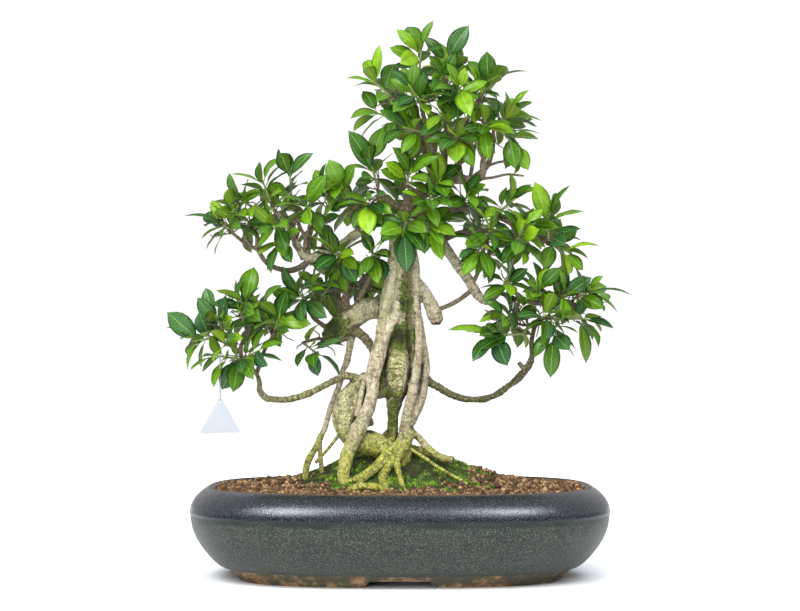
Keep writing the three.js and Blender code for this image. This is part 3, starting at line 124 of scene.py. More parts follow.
# Limbs of the tree: rows of x, y, z and radius in millimetres
LIMBS = {
    "trunk": [
        [11, 3, 490, 9], [7, 4, 470, 12], [3, 5, 446, 14], [2, 6, 412, 15], [0, 7, 385, 16.5],
        [-2, 8, 358, 18], [-4, 8, 331, 17.5], [-3, 6, 308, 15.5], [-3, 1, 286, 18.5], [-3, -2, 266, 19.5],
        [-5, 0, 248, 16], [-8, 3, 234, 11], [-9, 6, 214, 7.5], [-10, 8, 194, 7.5], [-12, 8, 174, 9],
        [-14, 8, 150, 10], [-16, 8, 118, 8],
    ],
    "right_cord": [
        [18, -4, 440, 5], [22, -6, 410, 5], [23, -8, 389, 5.5], [22, -9, 369, 5.5], [24, -9, 352, 5.5],
        [27, -9, 335, 5.5], [30, -9, 317, 5.5], [32.5, -9, 298, 6], [34, -8, 280, 6.5], [32, -8, 262, 6.5],
        [29, -8, 244, 6.5], [24, -8, 228, 7.5], [16, -9, 214, 8.5], [8, -10, 200, 8.5], [6, -10, 186, 9],
        [4, -8, 170, 12], [0, -6, 150, 14], [0, -6, 122, 10],
    ],
    "left_root": [
        [0, -6, 366, 8], [-8, -10, 350, 9], [-18, -13, 331, 9.5], [-26, -16, 311, 10],
        [-31, -18, 293, 10.5], [-36, -20, 270, 10.5], [-37, -22, 250, 8.5], [-40, -24, 234, 8.5],
        [-47, -26, 216, 9.5], [-56, -28, 198, 11], [-64, -29, 180, 10], [-71, -31, 162, 9.5],
        [-75, -34, 146, 8.5], [-75, -38, 130, 8.5], [-76, -42, 110, 7],
    ],
    "swollen_root": [
        [-40, -8, 270, 5], [-52, -4, 264, 7], [-61, -2, 252, 12], [-69, 0, 236, 16.5], [-73, 0, 218, 18.5],
        [-71, 0, 202, 18], [-62, 0, 188, 16.5], [-48, 0, 180, 16.5], [-33, 0, 176, 17], [-19, 0, 167, 16],
        [-10, 0, 148, 15], [-8, 0, 118, 12],
    ],
    "left_low_branch": [
        [-50, -4, 258, 7], [-60, -5, 266, 6], [-72, -6, 269, 5.2], [-86, -8, 264, 4.8],
        [-102, -10, 256, 4.5], [-120, -13, 247, 4.4], [-136, -15, 241, 4.3], [-152, -17, 238, 4.2],
        [-170, -18, 238, 4.2], [-181, -19, 241, 4], [-188, -20, 250, 3.8], [-189, -20, 262, 3.6],
        [-192, -20, 272, 3.4], [-200, -20, 281, 3.2], [-212, -20, 290, 3],
    ],
    "left_low_hub": [
        [-211, -20, 289, 3], [-214, -18, 305, 2.8], [-208, -15, 325, 2.6], [-201, -12, 345, 2.4],
    ],
    "left_low_outer": [[-213, -18, 300, 2.8], [-230, -20, 312, 2.5], [-250, -21, 321, 2.2]],
    "left_low_inner": [
        [-192, -20, 272, 3], [-187, -19, 290, 2.8], [-180, -16, 308, 2.4], [-172, -12, 322, 2.2],
    ],
    "right_low_branch": [
        [30, -2, 270, 8], [40, -2, 261, 6], [52, -3, 254, 5.2], [67, -4, 245, 4.8], [83, -6, 239, 4.6],
        [99, -7, 237, 4.5], [116, -8, 239, 4.5], [133, -8, 246, 4.4], [149, -8, 258, 4.6],
        [163, -8, 270, 5.2], [172, -8, 281, 5.2], [177, -8, 293, 4.6], [178, -8, 304, 4],
        [177, -9, 316, 3.4], [180, -10, 330, 3], [186, -10, 345, 2.6],
    ],
    "right_low_stub": [[170, -8, 278, 4.5], [164, -10, 282, 3.6], [160, -12, 287, 2.8]],
    "cut_stub": [
        [20, -4, 400, 5], [28, -7, 392, 6], [35, -9, 380, 7.5], [41, -10, 366, 9.5], [46, -11, 352, 10.5],
        [50, -11, 341, 9],
    ],
    "stub_twig": [[48, -10, 358, 3], [63, -8, 363, 3], [80, -5, 372, 3.2], [96, -2, 384, 3.4]],
    "right_branch": [
        [10, 4, 478, 8], [27, 4, 469, 7.5], [42, 4, 460, 7], [54, 4, 453, 6.8], [62, 3, 442, 6.8],
        [69, 2, 430, 6.8], [80, 0, 415, 7], [92, -1, 400, 7], [99, -2, 387, 7], [107, -3, 376, 6],
        [116, -4, 370, 5.2], [125, -5, 374, 4.6], [134, -5, 382, 4.2], [143, -6, 394, 3.8],
        [149, -6, 412, 3.4], [152, -6, 432, 3],
    ],
    "right_branch_twig": [
        [99, -2, 396, 3], [106, -8, 410, 2.6], [111, -12, 424, 2.4], [113, -14, 442, 2.2],
    ],
    "right_outer": [
        [134, -5, 382, 3.8], [152, -6, 374, 3.4], [172, -6, 369, 3], [194, -6, 366, 2.8],
        [214, -6, 368, 2.4], [232, -6, 370, 2.2],
    ],
    "right_upper": [
        [14, 2, 492, 6], [34, 0, 488, 5], [57, -4, 490, 4.4], [80, -6, 494, 4], [104, -6, 490, 3.6],
        [128, -6, 484, 3.2], [152, -4, 474, 3], [174, -4, 464, 2.6], [194, -4, 454, 2.4],
    ],
    "left_branch": [
        [6, 4, 478, 9], [-8, 4, 480, 8], [-22, 2, 479, 7.5], [-39, 0, 474, 7], [-58, -3, 461, 6.8],
        [-77, -5, 447, 6.8], [-95, -7, 440, 6.8], [-111, -8, 431, 7], [-125, -8, 428, 6.4],
        [-134, -8, 438, 5], [-141, -8, 452, 4.2], [-147, -8, 464, 3.6], [-156, -8, 476, 3.2],
        [-166, -9, 490, 2.8],
    ],
    "left_branch_lower": [
        [-118, -8, 428, 5], [-130, -8, 418, 4.4], [-140, -8, 413, 3.8], [-150, -8, 411, 3.6],
        [-162, -8, 413, 3.4], [-173, -8, 417, 3.2], [-182, -8, 424, 3], [-188, -8, 433, 3],
        [-193, -8, 440, 2.8], [-204, -9, 444, 2.6], [-214, -10, 452, 2.2], [-226, -11, 462, 2],
    ],
    "left_branch_rise": [
        [-191, -8, 438, 2.6], [-191, -9, 452, 2.4], [-194, -10, 466, 2.2], [-198, -11, 480, 2],
    ],
    "left_branch_riser": [
        [-106, -8, 434, 2.8], [-103, -9, 452, 2.3], [-107, -10, 470, 1.9], [-100, -12, 490, 1.5],
    ],
    "left_branch_outer_riser": [
        [-131, -8, 426, 2.6], [-140, -9, 446, 2.1], [-136, -10, 468, 1.8], [-143, -12, 488, 1.4],
    ],
    "left_fan_middle": [
        [-129, -9, 434, 3.6], [-141, -12, 444, 3], [-143, -15, 466, 2.4], [-138, -18, 490, 1.6],
    ],
    "left_fan_right": [
        [-128, -10, 438, 3.4], [-127, -14, 453, 2.8], [-135, -18, 472, 2.2], [-140, -20, 492, 1.5],
    ],
    "left_fan_far_right": [[-127, -14, 452, 2.4], [-122, -18, 470, 2], [-120, -20, 490, 1.4]],
    "left_fan_outer": [
        [-193, -9, 438, 2.8], [-192, -13, 450, 2.4], [-193, -16, 466, 2], [-194, -18, 484, 1.4],
    ],
    "left_fan_outer_right": [[-190, -9, 438, 2.4], [-185, -13, 460, 1.9], [-186, -16, 478, 1.4]],
    "left_fan_outer_left": [[-198, -9, 442, 2.4], [-208, -13, 454, 1.9], [-211, -16, 470, 1.4]],
    "crown_fan_left": [[64, -6, 534, 3], [60, -12, 552, 2.4], [58, -16, 576, 1.8]],
    "crown_fan_middle": [[84, -7, 534, 3], [80, -14, 556, 2.4], [79, -18, 584, 1.7]],
    "crown_fan_right": [[94, -7, 535, 2.8], [98, -14, 556, 2.2], [101, -18, 580, 1.6]],
    "left_branch_fork": [
        [-124, -8, 430, 4], [-124, -4, 446, 3.2], [-121, -2, 460, 2.8], [-116, -2, 478, 2.4],
    ],
    "knotted_branch": [
        [-4, 12, 350, 15], [-18, 16, 357, 14.5], [-34, 19, 360, 14.5], [-51, 22, 356, 14.5],
        [-66, 25, 347, 16], [-80, 28, 334, 18.5], [-92, 30, 325, 16], [-102, 31, 318, 9],
    ],
    "knotted_arch": [
        [-66, 24, 332, 8], [-54, 20, 325, 6.5], [-44, 14, 316, 6], [-37, 4, 304, 5.5], [-32, -6, 292, 5],
    ],
    "knot_twig_left": [[-94, 30, 330, 4], [-106, 28, 338, 3.4], [-118, 24, 348, 2.8], [-126, 18, 362, 2.4]],
    "knot_twig_up": [
        [-72, 24, 350, 7], [-74, 24, 372, 5.5], [-72, 22, 390, 4.6], [-74, 18, 408, 3.8], [-76, 12, 424, 3],
    ],
    "knot_twig_inner": [[-60, 22, 362, 5], [-50, 20, 384, 4], [-40, 14, 404, 3.2], [-34, 6, 420, 2.6]],
    "knot_twig_back": [[-78, 36, 350, 5], [-84, 50, 372, 3.6], [-84, 58, 388, 2.8]],
    "hanging_root": [
        [-66, 28, 330, 6], [-67, 29, 316, 5], [-69, 29, 304, 4.4], [-72, 28, 290, 4.2], [-78, 26, 275, 4.2],
        [-82, 23, 259, 4.2], [-88, 18, 242, 4], [-95, 12, 222, 3.8], [-100, 8, 203, 3.8], [-107, 3, 187, 4],
    ],
    "hanging_root_foot": [
        [-106, 3, 190, 4], [-110, 1, 180, 4.1], [-115, -2, 170, 4.4], [-123, -6, 156, 4.8],
        [-127, -9, 140, 4.8], [-127, -12, 118, 4.6], [-127, -14, 100, 4],
    ],
    "hanging_root_fork": [
        [-108, 2, 184, 3], [-108, 0, 170, 3.2], [-107, -3, 156, 3.4], [-105, -6, 140, 3.4],
        [-103, -9, 112, 3.2],
    ],
    "strut": [[-78, -4, 196, 3], [-88, -3, 182, 2.2], [-101, -3, 166, 2.2], [-114, -4, 152, 2.4]],
    "root_front_left": [
        [2, -8, 178, 7], [-12, -15, 169, 6.2], [-24, -22, 158, 5.6], [-36, -29, 146, 5.6],
        [-48, -35, 137, 5.6], [-60, -39, 131, 5.4], [-72, -40, 125, 5],
    ],
    "root_front": [
        [6, -8, 172, 8], [-5, -20, 161, 7], [-15, -30, 150, 6.4], [-22, -40, 138, 6.4], [-22, -54, 129, 6],
        [-19, -72, 123, 5.4], [-17, -90, 118, 4.8], [-16, -104, 109, 4],
    ],
    "root_front_loop": [
        [-72, -70, 112, 4.6], [-64, -80, 122, 4.6], [-52, -84, 126, 4.8], [-36, -84, 126, 4.8],
        [-22, -82, 122, 4.6], [-8, -86, 115, 4.2], [4, -92, 106, 3.6],
    ],
    "root_cut_stub": [
        [6, -8, 204, 4], [16, -9, 195, 4.8], [28, -11, 183, 5], [42, -14, 168, 5.4], [56, -17, 160, 5.6],
        [72, -20, 157, 5.4],
    ],
    "root_right_thin": [
        [8, -12, 176, 3], [18, -17, 169, 2.6], [34, -24, 159, 2.4], [54, -32, 146, 2.4],
        [76, -40, 134, 2.4], [92, -46, 124, 2.4], [108, -52, 114, 2.2],
    ],
    "root_right_back": [
        [6, 0, 172, 8], [34, 12, 165, 6], [62, 20, 154, 5], [92, 24, 139, 4], [124, 26, 120, 3.4],
    ],
    "root_left_back": [
        [-30, 6, 178, 9], [-52, 26, 165, 7.5], [-76, 44, 152, 6], [-102, 58, 137, 5], [-126, 70, 116, 4],
    ],
    "root_back": [
        [0, 8, 182, 10], [6, 32, 172, 8.5], [14, 58, 157, 7], [18, 86, 136, 5.6], [22, 110, 112, 4.5],
    ],
    "root_back_left": [
        [-14, 8, 190, 8], [-26, 30, 172, 7], [-34, 56, 156, 5.6], [-48, 78, 138, 4.6], [-62, 96, 114, 4],
    ],
    "crown_branch": [
        [8, 3, 482, 11], [12, 2, 496, 10.5], [23, 0, 510, 10], [38, -2, 521, 9.2], [55, -4, 531, 8.4],
        [74, -5, 535, 8], [96, -6, 533, 6.6], [110, -7, 540, 5.4], [112, -8, 558, 4.4], [116, -9, 590, 3.4],
    ],
    "crown_left_upright": [
        [46, -4, 528, 6], [46, -9, 548, 5], [44, -12, 570, 4.4], [38, -16, 598, 3.8], [30, -19, 624, 3.2],
        [27, -21, 648, 2.8],
    ],
    "crown_middle_upright": [
        [60, -4, 532, 5.4], [60, 2, 555, 4.4], [62, 5, 582, 4], [63, 5, 616, 3.4], [62, 4, 648, 2.8],
    ],
    "crown_right_upright": [
        [76, -4, 536, 5.4], [80, 4, 560, 4.4], [90, 10, 588, 3.6], [100, 12, 612, 3], [106, 11, 632, 2.6],
    ],
    "crown_left_fork": [[40, -14, 588, 3.6], [22, -18, 602, 3.2], [4, -20, 614, 3], [-8, -22, 630, 2.6]],
    "crown_right_fork": [
        [96, -6, 534, 4.4], [116, -6, 550, 3.8], [124, -8, 572, 3.2], [126, -10, 594, 2.6],
    ],
    "crown_back_left": [
        [44, -2, 528, 5.6], [40, 20, 550, 4.6], [32, 38, 578, 3.8], [26, 46, 610, 3], [24, 48, 628, 2.6],
    ],
    "crown_back_right": [
        [72, -2, 536, 5.6], [78, 24, 556, 4.6], [86, 40, 584, 3.6], [92, 46, 612, 3], [94, 48, 628, 2.6],
    ],
    "crown_bare_twig_upper": [
        [112, -8, 546, 2.4], [122, -13, 553, 1.9], [136, -17, 557, 1.6], [156, -19, 557, 1.3],
    ],
    "crown_bare_twig_lower": [
        [92, -6, 534, 3], [124, -12, 536, 1.9], [144, -16, 540, 1.6], [166, -18, 538, 1.3],
    ],
    "centre_left_riser": [[6, 2, 488, 6], [-6, -6, 498, 4.6], [-20, -12, 508, 3.6], [-28, -15, 518, 2.8]],
    "centre_riser": [[14, -2, 494, 6], [18, -12, 506, 4.6], [16, -20, 514, 3.6], [10, -24, 524, 2.8]],
    "centre_front": [[8, -6, 470, 6], [8, -16, 474, 4], [10, -24, 480, 3]],
    "left_branch_front": [[-56, -6, 464, 4], [-62, -12, 480, 3.2], [-68, -16, 496, 2.6]],
    "left_branch_back": [[-50, 2, 470, 4.6], [-54, 18, 482, 3.6], [-58, 34, 492, 2.8]],
    "left_branch_end_back": [[-134, -6, 440, 3.6], [-144, 10, 462, 3], [-150, 24, 482, 2.6]],
    "back_branch": [[4, 10, 452, 9], [8, 30, 456, 7], [14, 50, 464, 5], [22, 66, 474, 3.8]],
    "right_back_branch": [
        [54, 6, 452, 5], [80, 22, 462, 4.2], [108, 32, 466, 3.6], [134, 38, 464, 3], [160, 40, 458, 2.6],
    ],
    "front_cord": [
        [23, -13, 350, 4.5], [24.5, -16, 332, 5], [25, -18, 312, 5.2], [24, -19, 292, 5.6],
        [21, -19, 270, 6], [17, -18, 248, 6.6], [12, -16, 228, 7], [8, -13, 208, 7.2], [8, -12, 190, 8],
    ],
    "inner_cord": [
        [14, 0, 452, 7], [17, 0, 420, 8], [18, 0, 388, 8], [20, 0, 352, 9], [23, -1, 318, 9.5],
        [24, -2, 284, 8.5], [22, -3, 252, 7.5], [16, -4, 226, 6.5], [10, -5, 206, 7],
    ],
    "belly_root": [[-10, 2, 250, 9], [-21, -4, 247, 8], [-33, -12, 245, 7]],
    "trunk_left_face": [
        [-1, -6, 486, 6], [-5, -7, 462, 8], [-7, -6, 434, 9], [-10, -5, 404, 10.5], [-14, -4, 376, 12],
        [-17, -3, 352, 12],
    ],
    "left_cord": [
        [-5, -5, 462, 5], [-8, -10, 442, 5.5], [-10, -13, 416, 6], [-14, -15, 384, 6.6], [-20, -15, 358, 7],
        [-25, -16, 334, 7.5], [-28, -16, 312, 7],
    ],
    "inner_left_cord": [[-14, 2, 330, 8], [-21, 2, 300, 8.5], [-25, 2, 272, 9], [-24, 0, 250, 8]],
    "swollen_side": [[-46, -4, 272, 6], [-50, -1, 252, 10], [-53, 0, 228, 13], [-50, 0, 202, 14]],
    "base_knot": [[14, -13, 196, 6], [10, -17, 184, 8], [3, -18, 174, 8], [-6, -18, 168, 6]],
    "root_front_middle": [
        [4, -18, 174, 5], [-1, -30, 164, 4.6], [-4, -42, 153, 4.2], [-1, -52, 140, 4], [3, -62, 126, 3.6],
        [5, -70, 114, 3.2],
    ],
    "root_front_low": [
        [-14, -26, 160, 4.4], [-28, -38, 148, 4.2], [-40, -48, 140, 4.2], [-50, -60, 132, 4],
        [-60, -70, 122, 3.6],
    ],
    "left_root_strand": [
        [-36, -18, 282, 5], [-46, -19, 266, 4], [-51, -20, 250, 3.6], [-54, -22, 234, 3.6],
        [-58, -25, 216, 4.4],
    ],
}

# Shoots of the CAD model: where the stem starts and ends, in millimetres
STEMS = {
    "crown_01": [(27, -22, 675), (27, -26, 710)], "crown_02": [(62, 4, 668), (63, 2, 698)],
    "crown_03": [(108, 10, 642), (124, 5, 668)], "crown_04": [(130, -12, 604), (152, -18, 622)],
    "crown_04_fork": [(130, -12, 604), (156, -12, 578)], "crown_05": [(-12, -24, 644), (-35, -28, 663)],
    "crown_06": [(-2, -24, 614), (-32, -26, 622)], "crown_07": [(30, -36, 632), (14, -54, 654)],
    "crown_08": [(72, -30, 634), (80, -56, 652)], "crown_09": [(30, -28, 596), (8, -48, 600)],
    "crown_10": [(72, -26, 590), (76, -52, 584)], "crown_11": [(108, -22, 600), (114, -46, 604)],
    "crown_12": [(22, 54, 638), (8, 78, 656)], "crown_13": [(64, 40, 660), (66, 62, 686)],
    "crown_14": [(98, 56, 638), (114, 80, 654)], "crown_15": [(58, 58, 600), (54, 88, 602)],
    "crown_16": [(124, 30, 610), (148, 48, 616)], "centre_01": [(-31, -16, 526), (-40, -22, 560)],
    "centre_02": [(8, -25, 526), (14, -34, 542)], "centre_03": [(38, -26, 514), (52, -40, 530)],
    "centre_04": [(10, -34, 480), (4, -56, 460)], "centre_04_fork": [(10, -34, 480), (44, -36, 468)],
    "centre_05": [(-40, -26, 500), (-46, -50, 498)], "centre_06": [(-70, -22, 508), (-78, -44, 524)],
    "centre_07": [(-60, 44, 500), (-66, 70, 512)], "centre_08": [(22, 76, 484), (18, 100, 496)],
    "left_01": [(-174, -10, 502), (-184, -17, 530)], "left_02": [(-147, -10, 508), (-148, -17, 544)],
    "left_03": [(-228, -13, 466), (-240, -15, 474)], "left_03_fork": [(-228, -13, 466), (-218, -30, 494)],
    "left_04": [(-118, -16, 490), (-124, -42, 496)], "left_05": [(-160, -22, 470), (-168, -46, 470)],
    "left_06": [(-158, 34, 492), (-166, 60, 502)], "left_07": [(-202, 12, 474), (-214, 34, 486)],
    "inner_01": [(-78, -4, 430), (-86, -30, 432)], "inner_02": [(-32, -14, 430), (-38, -40, 434)],
    "inner_03": [(-128, 2, 372), (-134, -24, 380)], "inner_04": [(-86, 66, 398), (-92, 90, 406)],
    "lower_left_01": [(-254, -24, 320), (-270, -31, 317)],
    "lower_left_02": [(-236, -24, 328), (-244, -32, 346)],
    "lower_left_03": [(-206, -18, 356), (-206, -34, 366)],
    "lower_left_04": [(-168, -14, 332), (-162, -26, 348)],
    "lower_left_05": [(-212, -28, 292), (-250, -39, 298)],
    "lower_left_05_fork": [(-212, -28, 292), (-190, -42, 303)],
    "lower_left_06": [(-200, 10, 340), (-204, 36, 350)], "right_01": [(84, -16, 500), (92, -34, 514)],
    "right_02": [(136, -14, 492), (150, -28, 504)], "right_03": [(200, -14, 452), (198, -18, 482)],
    "right_04": [(156, -24, 446), (162, -48, 452)], "right_03_fork": [(200, -14, 452), (220, -26, 432)],
    "right_05": [(112, -22, 448), (104, -40, 438)], "right_06": [(160, 50, 460), (168, 76, 468)],
    "right_07": [(104, 46, 472), (98, 72, 484)], "lower_right_01": [(186, -18, 374), (186, -42, 388)],
    "lower_right_02": [(240, -14, 376), (258, -20, 384)],
    "lower_right_03": [(168, -16, 326), (118, -26, 323)],
    "lower_right_04": [(202, -16, 346), (206, -32, 320)],
    "lower_right_04_fork": [(202, -16, 346), (250, -20, 345)],
    "lower_right_05": [(206, 10, 372), (214, 36, 378)],
}

# What the bark of a limb looks like: how pale and smooth, how green with algae, and how dark
BARK_LOOKS = {
    # inner_cord, inner_left_cord and swollen_side lie behind other limbs, and their darkness is partly
    # painted shade
    "left_root": (1.0, 0.05, 0.0), "left_root_strand": (0.9, 0.05, 0.1), "left_cord": (0.9, 0.5, 0.0),
    "front_cord": (0.9, 0.1, 0.05), "right_cord": (0.8, 0.1, 0.1), "inner_cord": (0.2, 0.5, 0.6),
    "inner_left_cord": (0.1, 0.6, 0.9), "belly_root": (0.1, 0.4, 0.9), "hanging_root": (0.85, 0.1, 0.05),
    "hanging_root_foot": (0.2, 1.0, 0.45), "hanging_root_fork": (0.3, 0.2, 0.7), "strut": (0.4, 0.3, 0.4),
    "trunk": (0.3, 1.0, 0.05), "trunk_left_face": (0.9, 0.4, 0.0), "swollen_root": (0.85, 0.7, 0.0),
    "swollen_side": (0.3, 0.7, 0.5), "knotted_branch": (0.9, 0.45, 0.0), "knotted_arch": (0.2, 0.4, 0.7),
    "cut_stub": (0.6, 0.0, 0.05), "left_low_branch": (0.25, 0.8, 0.5), "right_low_branch": (0.0, 0.9, 1.0),
    "right_low_stub": (0.1, 0.5, 0.8), "root_cut_stub": (0.8, 0.05, 0.2), "base_knot": (0.7, 0.4, 0.1),
    "root_front": (0.5, 0.9, 0.1), "root_front_left": (0.6, 0.9, 0.0), "root_front_middle": (0.6, 0.9, 0.1),
    "root_front_low": (0.4, 0.9, 0.3), "root_front_loop": (0.6, 0.8, 0.1),
    "root_right_thin": (0.7, 0.6, 0.0), "left_branch": (0.6, 0.08, 0.15), "right_branch": (0.6, 0.08, 0.15),
    "crown_branch": (0.5, 0.05, 0.5),
}

OTHER_ROOT_LOOK = (0.4, 0.6, 0.3)
OTHER_BRANCH_LOOK = (0.25, 0.05, 0.8)
TWIG_LOOK = (0.2, 0.05, 0.85)
BARE_TWIG_LOOK = (0.2, 0.05, 0.9)

# Moss on the trunk: centre, reach along x, y and z, and strength
MOSS_PATCHES = [
    ((9, -10, 366), (13, 16, 46), 0.95), ((2, -12, 322), (18, 14, 19), 1.5),
    ((-8, 0, 216), (14, 22, 26), 0.85), ((-40, 4, 144), (44, 26, 22), 0.8),
    ((10, 10, 140), (60, 40, 20), 0.8), ((-88, 18, 334), (22, 24, 19), 1.4),
    ((-6, -4, 247), (26, 14, 8), 1.2), ((24, 4, 280), (12, 12, 60), 0.8),
    ((-100, 20, 326), (10, 22, 14), 0.7), ((-28, 2, 280), (9, 18, 44), 1.4),
    ((-116, -4, 146), (20, 20, 30), 0.5),
]

# The wood, in millimetres
THICK_LIMB = 5.5
SKIN_STEPS = 6
SKIN_SIDES = 20
WOOD_VOXEL = 1.66
SKIN_SMOOTHINGS = 3
FULL_RELIEF_RADIUS = 14
# How far out from the skin the painted crevice shade looks for other wood
CREVICE_SHADE_REACH = 5
NEAR_POINTS = 6
LEAST_GAP = 0.8
TUBE_SEAM = (0.31, -0.95, 0.1)
TUBE_POINT = 0.4

# Limbs that bear no leafy twig, by how their names start
WOOD_WITHOUT_LEAVES = (
    "root", "trunk", "right_cord", "left_root", "swollen", "hanging", "strut", "front", "cut", "inner",
    "belly", "left_cord", "base",
)

# Twigs, in millimetres. Kinks are shares of the way, and bends are shares of the length
SLIM_LIMB_STEPS = 5
SLIM_LIMB_SIDES = 10
BOUGH_STEPS = 4
TWIG_STEPS = 4
TWIG_SIDES = 8
KINKS = (0.35, 0.7)
TWIG_BEND = 0.05
TWIG_RADII = (2.3, 1.75)
BARE_TWIGS_PER_SHOOT = 4
BARE_TWIG_SIDES = 6
BARE_TWIG_BEND = 0.09
BARE_TWIG_RADII = (1.15, 0.6)
BARE_TWIG_LENGTHS = (16, 38)
STEM_SIDES = 7
STEM_BEND = 0.012
STEM_RADII = (1.75, 1.1)

# A bud: the way along it and its radius there, in millimetres
BUD = [(0, 1.2), (2, 1.3), (5, 0.8), (8, 0.15)]

# The height in metres where the glaze turns from green to blue
GLAZE_LINE = 0.0855

# Shoots that only the looks have: where the stem starts and ends, in millimetres
EXTRA_STEMS = {
    "crown": [
        [(90, 50, 602), (104, 82, 598)], [(40, 48, 606), (24, 80, 604)], [(46, -20, 640), (44, -50, 640)],
        [(62, -16, 612), (52, -60, 620)], [(96, -4, 640), (104, -40, 650)], [(60, 0, 654), (56, -34, 668)],
    ],
    "centre": [
        [(34, -34, 500), (40, -56, 507)], [(-94, -14, 500), (-101, -36, 520)],
        [(0, 36, 500), (-6, 66, 515)],
    ],
    "left": [
        [(-155, -16, 452), (-160, -40, 446)], [(-196, -14, 493), (-212, -26, 507)],
        [(-110, 30, 470), (-112, 60, 478)],
    ],
    "inner": [
        [(-74, 10, 419), (-80, -16, 424)], [(-115, 14, 385), (-118, -12, 388)],
        [(-52, 34, 400), (-44, 60, 405)], [(-60, 40, 390), (-68, 62, 392)],
        [(-36, 40, 386), (-28, 62, 382)], [(-98, 40, 384), (-106, 62, 380)],
    ],
    "lower_left": [
        [(-240, -18, 338), (-250, -26, 351)], [(-209, -16, 338), (-216, -30, 361)],
        [(-186, -14, 338), (-186, -28, 361)], [(-227, -30, 311), (-232, -50, 311)],
        [(-128, 10, 311), (-112, -2, 300)], [(-170, 14, 340), (-166, 40, 350)],
    ],
    "right": [
        [(162, -30, 463), (167, -52, 471)], [(122, -24, 459), (119, -48, 463)],
        [(100, 24, 490), (96, 52, 500)], [(196, 24, 450), (214, 48, 456)], [(120, 30, 430), (118, 58, 432)],
    ],
    "lower_right": [
        [(149, -16, 385), (142, -34, 396)], [(216, -24, 372), (219, -46, 377)],
        [(155, -20, 347), (140, -36, 349)], [(189, -30, 347), (193, -54, 350)],
        [(236, 18, 350), (250, 42, 356)], [(160, 22, 340), (152, 48, 344)],
    ],
}

# How leaves are added: gaps to others in millimetres, and how often a place is tried
LEAVES_PER_SPIRAL = 8
SPIRAL_LEAF_GAP = 4
SPIRAL_LEAF_TRIES = 10
SPIRAL_TURN = 2.4
SPIRAL_SEAM = (0.3, 0.9, 0.31)
# The angle of a leaf to its stem low down, how much less it is at the tip, and its luck, in degrees
LOW_SPREAD = 76
SPREAD_LOSS = 34
SPREAD_LUCK = 12
FACING_ANGLES = (15, 75)
LENGTH_SHARES = (0.76, 1.1)
WIDTH_SHARES = (0.9, 1.15)
EXTRA_LEAVES_PER_STEM = 5
EXTRA_LEAVES_PER_CROWN_STEM = 3
EXTRA_LEAF_GAP = 4.5
EXTRA_LEAF_TRIES = 14

# Where leaves change in tint, by the y and z of their foot in millimetres
# Painted light and shade: leaves in front are lighter, and leaves behind darker and bluer
FRONT_Y = -25
BACK_Y = -10
# Leaves below this are bluer, partly their own tint and partly a painted sheen
CROWN_Z = 380
# Leaves of a colour of their own, by the x and z of their tip in front: how yellow, how blue and how light
MARKED_COLOURS = [
    ((-40, 456), (1.0, 0.0, 0.6)), ((184, 464), (0.9, 0.0, 0.6)), ((166, 476), (0.9, 0.0, 0.6)),
    ((298, 352), (0.9, 0.0, 0.6)), ((86, 678), (0.6, 0.0, 0.6)), ((92, 614), (0.5, 0.0, 0.8)),
    ((62, 594), (0.7, 0.0, 0.6)), ((-213, 384), (0.6, 0.0, 0.6)), ((-222, 350), (0.6, 0.0, 0.6)),
    ((9, 408), (0.0, 0.7, 0.3)), ((219, 444), (0.0, 0.8, 0.6)), ((224, 304), (0.0, 0.8, 0.6)),
    ((-311, 355), (0.0, 0.7, 0.6)), ((-238, 252), (0.0, 0.8, 0.4)), ((78, 427), (0.0, 0.7, 0.5)),
    ((-225, 250), (0.0, 0.2, 0.45)),
]

MARK_REACH = 6

# The outline of a blade: the way along it, and the half width there as a share of the widest
BLADE_OUTLINE = [
    (0.0, 0.05), (0.05, 0.3), (0.14, 0.6), (0.26, 0.84), (0.4, 0.98), (0.54, 1.0), (0.68, 0.9), (0.8, 0.68),
    (0.89, 0.4), (0.95, 0.16), (1.0, 0.02),
]
# A cut across a leaf: the way across it, and 1 on its upper face or -1 on its lower
BLADE_SECTION = [
    (-1, 1), (-0.55, 1), (-0.14, 1), (0, 1), (0.14, 1), (0.55, 1), (1, 1),
    (0.55, -1), (0.14, -1), (0, -1), (-0.14, -1), (-0.55, -1),
]
# Where a leaf needs room: the way along it, and the reach to both sides as a share of its width
LEAF_PROBES = [(0.3, 0.36), (0.5, 0.36), (0.7, 0.36), (0.9, 0.12)]
LEAST_HALF_WIDTH = 0.35
PETIOLE_STATIONS = (0.0, 0.4, 0.8)
PETIOLE_RADIUS = 0.55
FOLD_ANGLES = (4, 20)
DROOPS = (-0.03, 0.06)
RIPPLES = (0.1, 0.7)

# What the CAD model shows itself: node, name of the material, two colours and roughness
PLASTICS = [
    ("tag", "tag_plastic", (0.345, 0.352, 0.37), (0.31, 0.318, 0.34), 0.3),
    ("tag_loop", "clear_thread", (0.3, 0.31, 0.33), (0.42, 0.43, 0.45), 0.2),
    ("drain_mesh_left", "drain_plastic_left", (0.02, 0.021, 0.023), (0.035, 0.036, 0.04), 0.5),
    ("drain_mesh_right", "drain_plastic_right", (0.02, 0.021, 0.023), (0.035, 0.036, 0.04), 0.5),
]

# Light and camera, in metres and degrees
ROOM_LIGHT = 0.42
BACKDROP_LIGHT = 1.05
SUN_LIGHT = 2.9
SUN_WAY = (0.22, 0.92, -1)
SUN_SOFTNESS = 45
SOFT_BOX_COLOUR = (0.84, 0.92, 1.0)
SOFT_BOX_AIM = (0, 0, 0.3)
# Soft boxes: name, place, width, power and whether they show in glossy surfaces
SOFT_BOXES = [
    ("left_box", (-1.6, -1.75, 2.7), 1.2, 62, True), ("right_box", (1.55, -1.85, 2.7), 1.15, 50, True),
    ("back_box", (0.3, 2.5, 1.7), 1.6, 60, False), ("front_fill", (-0.4, -3.0, 0.5), 1.0, 52, False),
]
FLOOR_HALF_WIDTH = 9
CAMERA_LENS = 106.7
CAMERA_SENSOR = 36
CAMERA_PLACE = (0, -3.2, 0.364)


